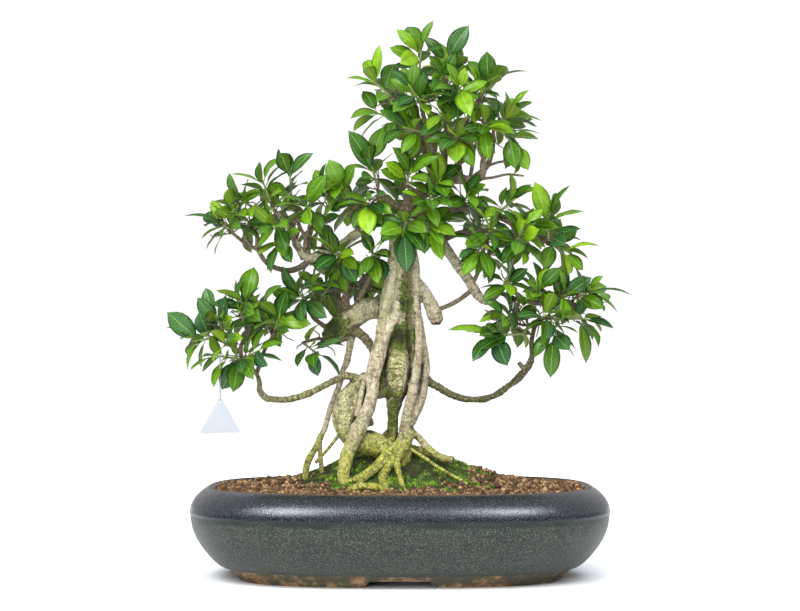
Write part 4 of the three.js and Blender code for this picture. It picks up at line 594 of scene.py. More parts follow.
class Nodes:
    """Short names for the nodes that the materials share."""

    def __init__(self, tree):
        self.tree = tree
        tree.nodes.clear()

    def add(self, kind, inputs=None, **settings):
        node = self.tree.nodes.new(kind)
        for key, value in settings.items():
            setattr(node, key, value)
        for key, value in (inputs or {}).items():
            if isinstance(value, bpy.types.NodeSocket):
                self.tree.links.new(value, node.inputs[key])
            else:
                node.inputs[key].default_value = value
        return node

    def split(self, vector):
        return self.add("ShaderNodeSeparateXYZ", {"Vector": vector}).outputs

    def read(self, name):
        """The three numbers that the mesh keeps under a name."""
        attribute = self.add("ShaderNodeAttribute", attribute_name=name, attribute_type="GEOMETRY")
        return self.split(attribute.outputs["Vector"])

    def place(self):
        return self.add("ShaderNodeTexCoord").outputs["Object"]

    def noise(self, vector, scale, detail=3.0, roughness=0.55):
        inputs = {"Vector": vector, "Scale": scale, "Detail": detail, "Roughness": roughness}
        return self.add("ShaderNodeTexNoise", inputs).outputs["Fac"]

    def streaks(self, vector, scales):
        """Noise that is drawn out along an axis with a low scale."""
        return self.noise(self.add("ShaderNodeMapping", {"Vector": vector, "Scale": scales}).outputs[0], 1.0)

    def spots(self, vector, scale):
        return self.add("ShaderNodeTexVoronoi", {"Vector": vector, "Scale": scale}).outputs["Distance"]

    def math(self, operation, a, b=0.0, clamp=False):
        return self.add("ShaderNodeMath", {0: a, 1: b}, operation=operation, use_clamp=clamp).outputs[0]

    def plus(self, a, b, clamp=False):
        return self.math("ADD", a, b, clamp)

    def minus(self, a, b, clamp=False):
        return self.math("SUBTRACT", a, b, clamp)

    def times(self, a, b, clamp=False):
        return self.math("MULTIPLY", a, b, clamp)

    def ramp(self, value, low, high, to_low=0.0, to_high=1.0):
        """A smooth step from one number to another while the value goes from low to high."""
        inputs = {"Value": value, "From Min": low, "From Max": high, "To Min": to_low, "To Max": to_high}
        return self.add("ShaderNodeMapRange", inputs, interpolation_type="SMOOTHSTEP").outputs["Result"]

    def blend(self, share, a, b):
        """A number between two others."""
        return self.add("ShaderNodeMix", {0: share, 2: a, 3: b}, data_type="FLOAT").outputs[0]

    def mix(self, share, a, b):
        """A colour between two others."""
        a, b = ((*colour, 1.0) if isinstance(colour, tuple) else colour for colour in (a, b))
        return self.add("ShaderNodeMix", {0: share, 6: a, 7: b}, data_type="RGBA").outputs[2]

    def layers(self, colour, *layers):
        """A colour with others laid over it in turn, each by its share."""
        for share, over in layers:
            colour = self.mix(share, colour, over)
        return colour

    def bump(self, height, distance, strength=1.0):
        inputs = {"Height": height, "Distance": distance, "Strength": strength}
        return self.add("ShaderNodeBump", inputs).outputs["Normal"]

    def surface(self, inputs):
        shader = self.add("ShaderNodeBsdfPrincipled", inputs)
        self.add("ShaderNodeOutputMaterial", {"Surface": shader.outputs[0]})


def new_material(name):
    made = bpy.data.materials.new(name)
    made.use_nodes = True
    return made, Nodes(made.node_tree)


def mesh_object(name, vertices, faces, smooth=True):
    mesh = bpy.data.meshes.new(name)
    mesh.from_pydata([tuple(v) for v in vertices], [], faces)
    mesh.polygons.foreach_set("use_smooth", [smooth] * len(mesh.polygons))
    mesh.update()
    made = bpy.data.objects.new(name, mesh)
    bpy.context.scene.collection.objects.link(made)
    return made


def set_attribute(piece, name, values):
    """Gives every vertex of a piece a vector that its material reads."""
    attribute = piece.data.attributes.new(name, "FLOAT_VECTOR", "POINT")
    attribute.data.foreach_set("vector", np.asarray(values, np.float32).ravel())


def finish_piece(piece, slot, *materials):
    for made in materials:
        piece.data.materials.append(made)
    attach(piece, "root")


def bake(piece):
    """Puts what the piece's modifiers make into its mesh."""
    graph = bpy.context.evaluated_depsgraph_get()
    mesh = bpy.data.meshes.new_from_object(piece.evaluated_get(graph))
    old = piece.data
    piece.modifiers.clear()
    piece.data = mesh
    bpy.data.meshes.remove(old)


def smooth_path(points, per_span):
    """Points along a centripetal Catmull-Rom curve through the given points."""
    points = [np.array(p, float) for p in points]
    ends = [2 * points[0] - points[1], *points, 2 * points[-1] - points[-2]]
    path = []
    for i in range(len(points) - 1):
        p0, p1, p2, p3 = ends[i:i + 4]
        d0, d1, d2 = [max(np.linalg.norm(b - a) ** 0.5, 1e-4) for a, b in ((p0, p1), (p1, p2), (p2, p3))]
        t1 = ((p1 - p0) / d0 - (p2 - p0) / (d0 + d1) + (p2 - p1) / d1) * d1
        t2 = ((p2 - p1) / d1 - (p3 - p1) / (d1 + d2) + (p3 - p2) / d2) * d1
        for k in range(per_span):
            t = k / per_span
            quadratic = 3 * (p2 - p1) - 2 * t1 - t2
            cubic = 2 * (p1 - p2) + t1 + t2
            path.append(p1 + t1 * t + quadratic * t ** 2 + cubic * t ** 3)
    path.append(points[-1])
    return np.array(path)


def limb_path(rows, per_span):
    """The middle line and the radii of a limb in metres."""
    path = smooth_path([row[:3] for row in rows], per_span)
    radii = np.interp(np.arange(len(path)) / per_span, np.arange(len(rows)), [row[3] for row in rows])
    return path * MM, radii * MM


def full_circle(count):
    """Evenly spaced angles all the way round."""
    return np.arange(count) / count * 2 * math.pi


def wall_faces(rings, sides):
    """The faces between rings of vertices that follow each other."""
    faces = []
    for i in range(rings - 1):
        for k in range(sides):
            a = i * sides + k
            b = i * sides + (k + 1) % sides
            faces.append((a, b, b + sides, a + sides))
    return faces


def fan_faces(rings, sides):
    """The faces that close the first and the last ring, each round one of two vertices after them."""
    faces = []
    first = rings * sides
    last = (rings - 1) * sides
    for k in range(sides):
        onward = (k + 1) % sides
        faces.append((first, onward, k))
        faces.append((first + 1, last + k, last + onward))
    return faces


def tube(path, radii, sides):
    """A closed tube with blunt points at its ends, as vertices and faces."""
    tangents = np.gradient(path, axis=0)
    tangents /= np.linalg.norm(tangents, axis=1)[:, None]
    side = np.array(TUBE_SEAM)
    vertices = []
    angles = full_circle(sides)
    for centre, along, radius in zip(path, tangents, radii):
        side = side - along * side.dot(along)
        side /= np.linalg.norm(side)
        other = np.cross(along, side)
        ring = centre + radius * (np.outer(np.cos(angles), side) + np.outer(np.sin(angles), other))
        vertices.extend(ring)
    vertices.append(path[0] - tangents[0] * radii[0] * TUBE_POINT)
    vertices.append(path[-1] + tangents[-1] * radii[-1] * TUBE_POINT)
    return vertices, wall_faces(len(path), sides) + fan_faces(len(path), sides)


class Pile:
    """Vertices, faces and attributes of many small bodies that become one piece."""

    def __init__(self):
        self.vertices = []
        self.faces = []
        self.kinds = []
        self.values = {}

    def add(self, vertices, faces, kind=0, **values):
        start = len(self.vertices)
        self.vertices.extend(vertices)
        self.faces.extend([tuple(corner + start for corner in face) for face in faces])
        self.kinds.extend([kind] * len(faces))
        for name, given in values.items():
            given = np.asarray(given, float)
            if given.ndim == 1:
                given = np.tile(given, (len(vertices), 1))
            self.values.setdefault(name, []).append(given)

    def piece(self, name, smooth=True):
        made = mesh_object(name, self.vertices, self.faces, smooth)
        made.data.polygons.foreach_set("material_index", self.kinds)
        for key, parts in self.values.items():
            set_attribute(made, key, np.concatenate(parts))
        return made


def leaf_material():
    made, n = new_material("leaf")
    along, across, side = n.read("leaf_place")
    yellow, blue, luck = n.read("leaf_tint")
    width = n.math("ABSOLUTE", across)
    place = n.place()
    fine = n.noise(place, 900)
    # Side veins leave the midrib at an angle and curve to the tip
    wave = n.minus(n.times(along, 62.0), n.times(width, 9.0))
    veins = n.ramp(n.math("SINE", wave), 0.75, 1.0)
    midrib = n.ramp(width, 0.02, 0.06, 1.0, 0.0)
    upper = n.layers(
        n.mix(luck, (0.005, 0.04, 0.0015), (0.108, 0.235, 0.004)),
        (n.times(blue, 0.9), (0.02, 0.062, 0.036)),
        (yellow, (0.21, 0.36, 0.01)),
        (n.ramp(n.noise(place, 90, 2), 0.4, 0.7, 0.0, 0.35), (0.019, 0.095, 0.002)),
        (n.times(veins, 0.1), (0.24, 0.42, 0.06)),
        (n.times(midrib, 0.4), (0.32, 0.5, 0.11)),
    )
    lower = n.layers(
        n.mix(luck, (0.055, 0.12, 0.012), (0.15, 0.24, 0.016)),
        (n.times(yellow, 0.6), (0.34, 0.44, 0.012)),
        (n.times(veins, 0.2), (0.08, 0.17, 0.01)),
        (n.times(midrib, 0.6), (0.36, 0.48, 0.12)),
    )
    grain = n.times(fine, 0.3)
    n.surface({
        "Base Color": n.mix(n.ramp(fine, 0.4, 0.8, 0.0, 0.2), n.mix(side, upper, lower), (0.01, 0.05, 0.002)),
        "Roughness": n.ramp(n.plus(side, grain), 0.0, 1.3, 0.2, 0.55),
        "Specular IOR Level": 0.28,
        "Normal": n.bump(n.plus(n.times(veins, -0.5), grain), 0.0004, 0.5),
    })
    return made


def stem_material():
    made, n = new_material("green_stem")
    place = n.place()
    colour = n.mix(n.noise(place, 120), (0.16, 0.24, 0.05), (0.2, 0.15, 0.08))
    n.surface({
        "Base Color": n.mix(n.ramp(n.noise(place, 1400, 2), 0.5, 0.75), colour, (0.3, 0.32, 0.14)),
        "Roughness": n.ramp(n.noise(place, 700), 0.2, 0.8, 0.4, 0.7),
        "Normal": n.bump(n.noise(place, 1100), 0.0003, 0.6),
    })
    return made


def bark_material():
    made, n = new_material("bark")
    pale, green, dark = n.read("bark_look")
    moss, ring, crevice_shade = n.read("bark_place")
    place = n.place()
    height = n.split(place)[2]
    ring_inputs = {"Vector": place, "W": n.times(ring, 4.4), "Scale": 66.0, "Detail": 4.0, "Roughness": 0.62}
    rings = n.add("ShaderNodeTexNoise", ring_inputs, noise_dimensions="4D").outputs["Fac"]
    specks = n.spots(place, 330)
    patches = n.noise(place, 38, 3, 0.6)
    fine = n.noise(place, 620, 4, 0.65)
    mottle = n.noise(place, 210, 4, 0.7)
    rough_bark = n.minus(1.0, n.times(pale, 0.6))
    pale_bark = n.layers(
        n.mix(pale, (0.17, 0.12, 0.07), (0.42, 0.345, 0.235)),
        (n.ramp(mottle, 0.48, 0.66, 0.0, 0.85), (0.62, 0.55, 0.39)),
        (n.ramp(n.streaks(place, (300, 300, 42)), 0.48, 0.62, 0.0, 0.65), (0.2, 0.155, 0.095)),
        (n.ramp(n.noise(place, 62, 4, 0.7), 0.52, 0.62, 0.0, 0.5), (0.16, 0.13, 0.06)),
        # Painted light: pale bark is made lighter from 0.33 m up, where the crown shades it
        (n.times(pale, n.ramp(height, 0.33, 0.4, 0.0, 0.55)), (0.82, 0.75, 0.52)),
    )
    # Algae on green limbs and low down, lime green and wetter near the soil
    low = n.ramp(height, 0.15, 0.228, 1.0, 0.0)
    algae = n.times(green, n.ramp(patches, 0.25, 0.72, 0.5, 1.0))
    algae = n.plus(algae, n.times(low, n.ramp(patches, 0.34, 0.54, 0.45, 1.0)), clamp=True)
    lime = n.mix(n.ramp(mottle, 0.4, 0.64), (0.17, 0.185, 0.035), (0.55, 0.54, 0.22))
    wet_lime = n.mix(n.ramp(mottle, 0.4, 0.62), (0.21, 0.225, 0.012), (0.46, 0.45, 0.032))
    dark_bark = n.mix(green, (0.085, 0.048, 0.033), (0.026, 0.034, 0.01))
    fleck_room = n.minus(rough_bark, n.times(dark, 0.6))
    mossy_colour = n.layers(
        n.mix(n.ramp(fine, 0.4, 0.66), (0.016, 0.024, 0.005), (0.2, 0.25, 0.045)),
        (n.ramp(moss, 0.85, 1.3, 0.0, 0.85), (0.021, 0.022, 0.009)),
    )
    uneven = n.times(n.minus(n.plus(mottle, patches), 1.0), 1.3)
    colour = n.layers(
        pale_bark,
        (n.times(algae, 0.9), n.mix(n.times(low, 0.9), lime, wet_lime)),
        (n.times(dark, 0.85), dark_bark),
        # Pale flecks on the tops of the bumps, partly the bark's own flecks and partly painted highlight
        (n.times(n.ramp(specks, 0.4, 0.14, 0.0, 0.65), fleck_room, clamp=True), (0.8, 0.77, 0.56)),
        # Dark grooves between the rings, partly the bark's own colour and partly painted shade
        (n.times(n.ramp(rings, 0.4, 0.5, 1.0, 0.0), rough_bark), (0.05, 0.045, 0.014)),
        (n.times(n.ramp(fine, 0.49, 0.6, 0.0, 0.95), rough_bark), (0.13, 0.1, 0.05)),
        (n.ramp(n.plus(moss, uneven), 0.42, 0.72), mossy_colour),
        # Painted shade in the crevices between limbs, less on raised bark
        (n.times(crevice_shade, 0.94), (0.02, 0.02, 0.008)),
    )
    relief = n.plus(n.times(rings, rough_bark), n.times(fine, 0.3))
    n.surface({
        "Base Color": colour,
        "Roughness": n.ramp(fine, 0.2, 0.8, 0.55, 0.9),
        "Specular IOR Level": 0.3,
        "Normal": n.bump(n.minus(relief, n.times(specks, 0.3)), 0.004),
    })
    return made


def glaze_material():
    """Dark green glaze on the wall, glossy blue on the shoulder, and bare clay at the foot."""
    made, n = new_material("glaze")
    place = n.place()
    z = n.split(place)[2]
    wavy = n.plus(z, n.times(n.minus(n.noise(place, 22), 0.5), 0.006))
    specks = n.noise(place, 520, 3, 0.8)
    clouds = n.noise(place, 26, 4, 0.6)
    body = n.layers(
        n.mix(n.ramp(clouds, 0.3, 0.7), (0.0065, 0.011, 0.0095), (0.016, 0.021, 0.017)),
        (n.ramp(n.streaks(place, (70, 70, 9)), 0.55, 0.75, 0.0, 0.35), (0.045, 0.047, 0.033)),
        (n.ramp(specks, 0.5, 0.64, 0.0, 0.9), (0.1, 0.105, 0.075)),
        (n.ramp(specks, 0.3, 0.47, 0.8, 0.0), (0.006, 0.011, 0.012)),
    )
    flecks = n.ramp(n.noise(place, 520, 3, 0.7), 0.48, 0.66)
    shoulder = n.mix(flecks, (0.002, 0.003, 0.005), (0.03, 0.042, 0.062))
    clay = n.layers(
        n.mix(n.ramp(n.noise(place, 60, 4), 0.35, 0.65), (0.12, 0.07, 0.035), (0.33, 0.2, 0.11)),
        (n.times(n.ramp(n.noise(place, 34, 4, 0.65), 0.42, 0.54), 0.9), (0.05, 0.054, 0.036)),
    )
    is_shoulder = n.ramp(wavy, GLAZE_LINE, 0.0905)
    is_bare = n.ramp(wavy, 0.015, 0.018, 1.0, 0.0)
    edge = n.ramp(n.math("ABSOLUTE", n.minus(wavy, GLAZE_LINE)), 0.0015, 0.006, 1.0, 0.0)
    lip = n.ramp(n.plus(z, n.times(clouds, 0.0012)), 0.1217, 0.1229)
    colour = n.layers(
        n.mix(is_shoulder, body, shoulder),
        (n.times(edge, n.ramp(clouds, 0.35, 0.6, 0.2, 1.0)), (0.005, 0.012, 0.009)),
        (n.times(lip, 0.6), (0.09, 0.05, 0.024)),
        (is_bare, clay),
    )
    roughness = n.blend(is_bare, n.blend(is_shoulder, 0.36, 0.2), 0.75)
    uneven = n.bump(n.plus(n.times(specks, 0.5), clouds), 0.0009, 0.7)
    n.surface({
        "Base Color": colour,
        "Roughness": n.plus(roughness, n.times(specks, 0.14)),
        "Specular IOR Level": 0.32,
        "Normal": uneven,
        "Coat Weight": n.times(n.ramp(wavy, 0.0915, 0.0965), n.minus(0.95, lip), clamp=True),
        "Coat Roughness": 0.16,
        "Coat IOR": 1.8,
        "Coat Normal": uneven,
    })
    return made


def soil_material():
    made, n = new_material("soil")
    moss, luck, shade = n.read("soil_look")
    place = n.place()
    grains = n.spots(place, 190)
    fine = n.noise(place, 800, 4, 0.7)
    brown = n.layers(
        n.mix(luck, (0.04, 0.02, 0.008), (0.55, 0.34, 0.16)),
        (n.ramp(fine, 0.4, 0.7, 0.0, 0.5), (0.28, 0.14, 0.065)),
        (n.ramp(grains, 0.25, 0.7, 0.0, 0.7), (0.04, 0.02, 0.01)),
    )
    green = n.mix(n.ramp(fine, 0.3, 0.7), (0.02, 0.03, 0.008), (0.08, 0.15, 0.02))
    n.surface({
        # Painted shade darkens the soil near the foot of the tree and between the granules
        "Base Color": n.layers(brown, (moss, green), (n.times(shade, 0.8), (0.03, 0.026, 0.012))),
        "Roughness": n.ramp(fine, 0.2, 0.8, 0.8, 1.0),
        "Normal": n.bump(n.plus(grains, fine), 0.0018, 0.8),
    })
    return made


def moss_material():
    made, n = new_material("moss")
    tip, luck, ground_shade = n.read("moss_look")
    place = n.place()
    dark = n.mix(luck, (0.02, 0.035, 0.008), (0.04, 0.08, 0.01))
    light = n.mix(luck, (0.09, 0.21, 0.01), (0.3, 0.47, 0.03))
    patches = n.noise(place, 80, 4, 0.7)
    # Painted shade near the foot of the tree, broken into patches
    patchy_ground_shade = n.times(ground_shade, n.ramp(patches, 0.36, 0.52, 0.3, 1.0))
    colour = n.layers(
        n.mix(tip, dark, light),
        (n.ramp(patches, 0.47, 0.55, 0.0, 0.95), (0.014, 0.013, 0.006)),
        (n.ramp(patches, 0.38, 0.47, 0.9, 0.0), (0.27, 0.47, 0.025)),
        (n.times(patchy_ground_shade, 0.85), (0.022, 0.026, 0.008)),
    )
    n.surface({
        "Base Color": colour,
        "Roughness": n.ramp(n.noise(place, 500), 0.2, 0.8, 0.75, 0.95),
        "Normal": n.bump(n.noise(place, 1500), 0.0004, 0.6),
    })
    return made


def plastic_material(name, light, dark, roughness):
    made, n = new_material(name)
    place = n.place()
    n.surface({
        "Base Color": n.mix(n.noise(place, 60), light, dark),
        "Roughness": n.ramp(n.noise(place, 240), 0.3, 0.7, roughness, roughness + 0.12),
        "Normal": n.bump(n.noise(place, 420, 2), 0.0002, 0.3),
    })
    return made


def floor_material():
    made, n = new_material("studio_floor")
    cloud = n.noise(n.place(), 3, 2)
    n.surface({
        "Base Color": n.mix(cloud, (0.92, 0.92, 0.92), (0.94, 0.94, 0.94)),
        "Roughness": n.ramp(cloud, 0.0, 1.0, 0.85, 0.9),
        "Specular IOR Level": 0.0,
    })
    return made


def rounded(value):
    return np.sign(value) * np.abs(value) ** (2 / OVAL_POWER)


def oval_ring(radius, count):
    """Points of the oval plan in millimetres. The radius is its half width."""
    angles = full_circle(count)
    half_depth = max(radius - (POT_HALF_WIDTH - POT_HALF_DEPTH), LEAST_DEPTH_RATIO * radius)
    return np.stack([radius * rounded(np.cos(angles)), half_depth * rounded(np.sin(angles))], 1)


def rounded_profile(rows, per_span, sharp=()):
    """The rows joined by a smooth curve that keeps the sharp ones as corners."""
    made = []
    start = 0
    for stop in [*sorted(sharp), len(rows) - 1]:
        part = rows[start:stop + 1]
        if len(part) > 1:
            made.extend(smooth_path([(r, z, 0) for r, z in part], per_span)[:-1, :2])
            start = stop
    return [*made, rows[-1]]


def oval_lathe(profile, count):
    """A closed oval body from its profile, which starts and ends on the axis."""
    vertices = []
    rings = profile[1:-1]
    for radius, z in rings:
        vertices.extend((x * MM, y * MM, z * MM) for x, y in oval_ring(radius, count))
    vertices.append((0, 0, profile[0][1] * MM))
    vertices.append((0, 0, profile[-1][1] * MM))
    return vertices, wall_faces(len(rings), count) + fan_faces(len(rings), count)


def prism(outline, low, high, axis):
    """A block with the given outline, from low to high along x, y or z, in millimetres."""
    vertices, faces = [], []
    count = len(outline)
    for level in (low, high):
        for a, b in outline:
            point = [a, b]
            point.insert(axis, level)
            vertices.append([value * MM for value in point])
    faces.append(tuple(range(count)))
    faces.append(tuple(range(2 * count - 1, count - 1, -1)))
    for i in range(count):
        j = (i + 1) % count
        faces.append((i, i + count, j + count, j))
    return vertices, faces


def cut(piece, vertices, faces):
    """Cuts a block out of a piece."""
    cutter = mesh_object("cutter", vertices, faces, False)
    mesh = bmesh.new()
    mesh.from_mesh(cutter.data)
    bmesh.ops.recalc_face_normals(mesh, faces=mesh.faces)
    mesh.to_mesh(cutter.data)
    mesh.free()
    change = piece.modifiers.new("cut", "BOOLEAN")
    change.operation = "DIFFERENCE"
    change.object = cutter
    change.solver = "EXACT"
    bake(piece)
    bpy.data.objects.remove(cutter)


def foot_gap(width, top_width):
    """The outline of a gap between two feet, seen from the side."""
    half = width / 2
    top = top_width / 2
    return [(-half, FOOT_GAP_LOW), (half, FOOT_GAP_LOW), (top, FOOT_GAP_HIGH), (-top, FOOT_GAP_HIGH)]


def make_pot():
    outside = rounded_profile(OUTSIDE, 5, SHARP_ROWS)
    inside = rounded_profile(INSIDE, 4)
    below = [(0, UNDERSIDE), (FLAT_RADIUS, UNDERSIDE)]
    floor = [(FLAT_RADIUS, FLOOR_TOP), (0, FLOOR_TOP)]
    pot = mesh_object("glazed_pot", *oval_lathe([*below, *outside, *inside, *floor], POT_SIDES))
    front_gap = foot_gap(FOOT_GAP_WIDTH, FOOT_GAP_TOP_WIDTH)
    end_gap = foot_gap(FOOT_END_GAP_WIDTH, FOOT_END_GAP_WIDTH)
    drain = [(math.cos(a) * DRAIN_RADIUS, math.sin(a) * DRAIN_RADIUS) for a in full_circle(DRAIN_SIDES)]
    for side in (-1, 1):
        cut(pot, *prism(front_gap, *(side * reach for reach in FOOT_GAP_REACH), 1))
        cut(pot, *prism(end_gap, *(side * reach for reach in FOOT_END_GAP_REACH), 0))
        cut(pot, *prism([(x + side * DRAIN_X, y) for x, y in drain], *DRAIN_REACH, 2))
    pot.data.polygons.foreach_set("use_smooth", [True] * len(pot.data.polygons))
    pot.data.set_sharp_from_angle(angle=math.radians(SHARP_ANGLE))
    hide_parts("pot")
    finish_piece(pot, "glaze", glaze_material())


def bell(x, y, centre, reach, sharpness):
    """1 at the centre, and less the further from it."""
    distance = ((x - centre[0]) / reach[0]) ** 2 + ((y - centre[1]) / reach[1]) ** 2
    return math.exp(-distance ** sharpness)


def lumps(x, y, scale, layer):
    """Smooth noise over the ground, different in every layer."""
    return noise.noise(Vector((x * scale, y * scale, layer)))


def ground_at(x, y):
    across = (x / MOUND_SPREAD_X) ** 2
    along = ((y - MOUND_CENTRE_Y) / MOUND_SPREAD_Y) ** 2
    return SOIL_EDGE + MOUND_HEIGHT * math.exp(-(across + along) / 2)


def moss_at(x, y):
    """How mossy the ground is, from 0 to 1."""
    broken = lumps(x, y, 0.03, 3.1) + 0.6 * lumps(x, y, 0.09, 7.7)
    return min(max((bell(x, y, *MOSSY_GROUND) + 0.6 * broken - 0.46) * 5, 0.0), 1.0)


def shade_at(x, y):
    """How much painted shade darkens the ground near the foot of the tree, from 0 to 1."""
    near = max(bell(x, y, *spot) for spot in SHADED_GROUND)
    return min(max((1.3 * near + 0.7 * lumps(x, y, 0.07, 5.2) - 0.28) * 2.5, 0.0), 1.0)


def bed_height(x, y):
    cushion = moss_at(x, y) * (1.2 + 1.8 * lumps(x, y, 0.11, 1.9))
    return ground_at(x, y) + lumps(x, y, 0.03, 0.4) * 1.6 + cushion


def make_soil(surface):
    top = [(radius, SOIL_EDGE) for radius in np.linspace(*SOIL_TOP_RADII, SOIL_TOP_RINGS)]
    vertices, faces = oval_lathe([(0, SOIL_BOTTOM), *SOIL_WALL, *top, (0, SOIL_EDGE)], SOIL_SIDES)
    looks = []
    made = []
    for x, y, z in vertices:
        moss = 0.0
        if z > (SOIL_EDGE - 1) * MM:
            z = bed_height(x / MM, y / MM) * MM
            moss = moss_at(x / MM, y / MM)
        # Painted shade: dark near the foot of the tree, and on bare soil, which shows only in the gaps
        # between the granules
        shade = max(shade_at(x / MM, y / MM), 0.6 * (1 - moss))
        made.append((x, y, z))
        looks.append((moss, 0.1 + 0.1 * noise.noise(Vector((x, y, 0)) * 90), shade))
    bed = mesh_object("soil_bed", made, faces)
    set_attribute(bed, "soil_look", looks)
    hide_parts("soil")
    finish_piece(bed, "soil", surface)


def in_oval(x, y, radius):
    half_depth = radius - (POT_HALF_WIDTH - POT_HALF_DEPTH)
    return abs(x / radius) ** OVAL_POWER + abs(y / half_depth) ** OVAL_POWER < 1


def small_stone():
    """The corners and faces of an icosahedron of radius 1."""
    mesh = bmesh.new()
    bmesh.ops.create_icosphere(mesh, subdivisions=1, radius=1.0)
    corners = np.array([v.co for v in mesh.verts])
    faces = [tuple(v.index for v in face.verts) for face in mesh.faces]
    mesh.free()
    return corners, faces


def any_way(luck):
    """A vector of random length and direction."""
    return np.array([luck.gauss(0, 1), luck.gauss(0, 1), luck.gauss(0, 1)])


def make_granules(surface):
    luck = random.Random(SEED)
    corners, faces = small_stone()
    pile = Pile()
    for _ in range(GRANULE_TRIES):
        x, y = [luck.uniform(-half, half) for half in GRANULE_AREA]
        if not in_oval(x, y, GRANULE_OVAL) or luck.random() < moss_at(x, y) * 1.3:
            continue
        size = luck.uniform(*GRANULE_SIZES) * (0.85 + 0.5 * luck.random() ** 3)
        stretch = np.array([luck.uniform(*span) for span in GRANULE_STRETCHES])
        shape = corners * stretch * np.array([[luck.uniform(*GRANULE_CORNERS)] for _ in corners])
        turn = np.array(Vector(any_way(luck)).to_track_quat("Z", "Y").to_matrix())
        centre = np.array([x, y, bed_height(x, y) + size * luck.uniform(0.0, 1.0)])
        pile.add((shape @ turn.T * size + centre) * MM, faces, soil_look=(0, luck.random() ** 1.4, 0))
    finish_piece(pile.piece("soil_granules", False), "soil", surface)


def make_moss(surface):
    """Tufts of moss, each a slim leaning pyramid."""
    luck = random.Random(SEED + 1)
    pile = Pile()
    for _ in range(TUFT_TRIES):
        x, y = [luck.uniform(*span) for span in TUFT_AREA]
        moss = moss_at(x, y)
        if moss < TUFT_LEAST_MOSS or not in_oval(x, y, TUFT_OVAL):
            continue
        ground = np.array([x, y, bed_height(x, y)])
        height = luck.uniform(*TUFT_HEIGHTS) * (0.5 + 0.6 * moss)
        radius = luck.uniform(*TUFT_RADII)
        turn = luck.uniform(0, ABOUT_A_TURN)
        tip = np.array([luck.gauss(0, 0.5), luck.gauss(0, 0.5), 1.0]) * height
        foot = [(math.cos(turn + a) * radius, math.sin(turn + a) * radius, -TUFT_DEPTH) for a in TUFT_CORNERS]
        points = [(ground + p) * MM for p in [*foot, tip]]
        look = (luck.random(), shade_at(x, y))
        looks = [(is_tip, *look) for is_tip in (0.0, 0.0, 0.0, 1.0)]
        pile.add(points, [(0, 1, 3), (1, 2, 3), (2, 0, 3), (2, 1, 0)], moss_look=looks)
    finish_piece(pile.piece("moss_tufts", False), "soil", surface)


def bark_look_of(name):
    if name in BARK_LOOKS:
        return BARK_LOOKS[name]
    return OTHER_ROOT_LOOK if name.startswith("root") else OTHER_BRANCH_LOOK


def is_thick(rows):
    return max(row[3] for row in rows) >= THICK_LIMB


def moss_on_wood(points):
    made = np.zeros(len(points))
    for centre, reach, strength in MOSS_PATCHES:
        offset = (points / MM - np.array(centre)) / np.array(reach)
        made = np.maximum(made, strength * np.exp(-(offset ** 2).sum(1) / 1.2))
    return made


def wood_skin():
    """The thick limbs as one skin, and the points of their middle lines with radius, way along and look."""
    pile = Pile()
    line = []
    for name, rows in LIMBS.items():
        if not is_thick(rows):
            continue
        path, radii = limb_path(rows, SKIN_STEPS)
        pile.add(*tube(path, radii, SKIN_SIDES))
        lengths = np.concatenate([[0], np.cumsum(np.linalg.norm(np.diff(path, axis=0), axis=1))])
        line.extend(zip(path, radii, lengths, [bark_look_of(name)] * len(path)))
    wood = pile.piece("trunk_and_boughs")
    skin = wood.modifiers.new("skin", "REMESH")
    skin.mode = "VOXEL"
    skin.voxel_size = WOOD_VOXEL * MM
    smooth = wood.modifiers.new("smooth", "SMOOTH")
    smooth.iterations = SKIN_SMOOTHINGS
    smooth.factor = 0.5
    bake(wood)
    return wood, line


def points_and_normals(mesh):
    points = np.zeros(len(mesh.vertices) * 3)
    mesh.vertices.foreach_get("co", points)
    normals = np.zeros(len(mesh.vertices) * 3, np.float32)
    mesh.vertex_normals.foreach_get("vector", normals)
    return points.reshape(-1, 3), normals.reshape(-1, 3)


def bark_relief(place, ring, radius, pale):
    """How far the bark rises, in millimetres. It is less on slim limbs and on pale ones."""
    x, y, z = place
    broad = noise.noise(Vector((x, y, z * 0.55)) * 0.085)
    knobs = noise.noise(Vector((x, y, z * 0.8)) * 0.21)
    rough = noise.noise(Vector((x * 0.5, y * 0.5, ring)) * 0.34)
    size = min(radius / FULL_RELIEF_RADIUS, 1.0)
    return (broad * 2.0 + knobs * 1.1 + rough * (1.5 - 1.2 * pale)) * (0.3 + 0.7 * size)


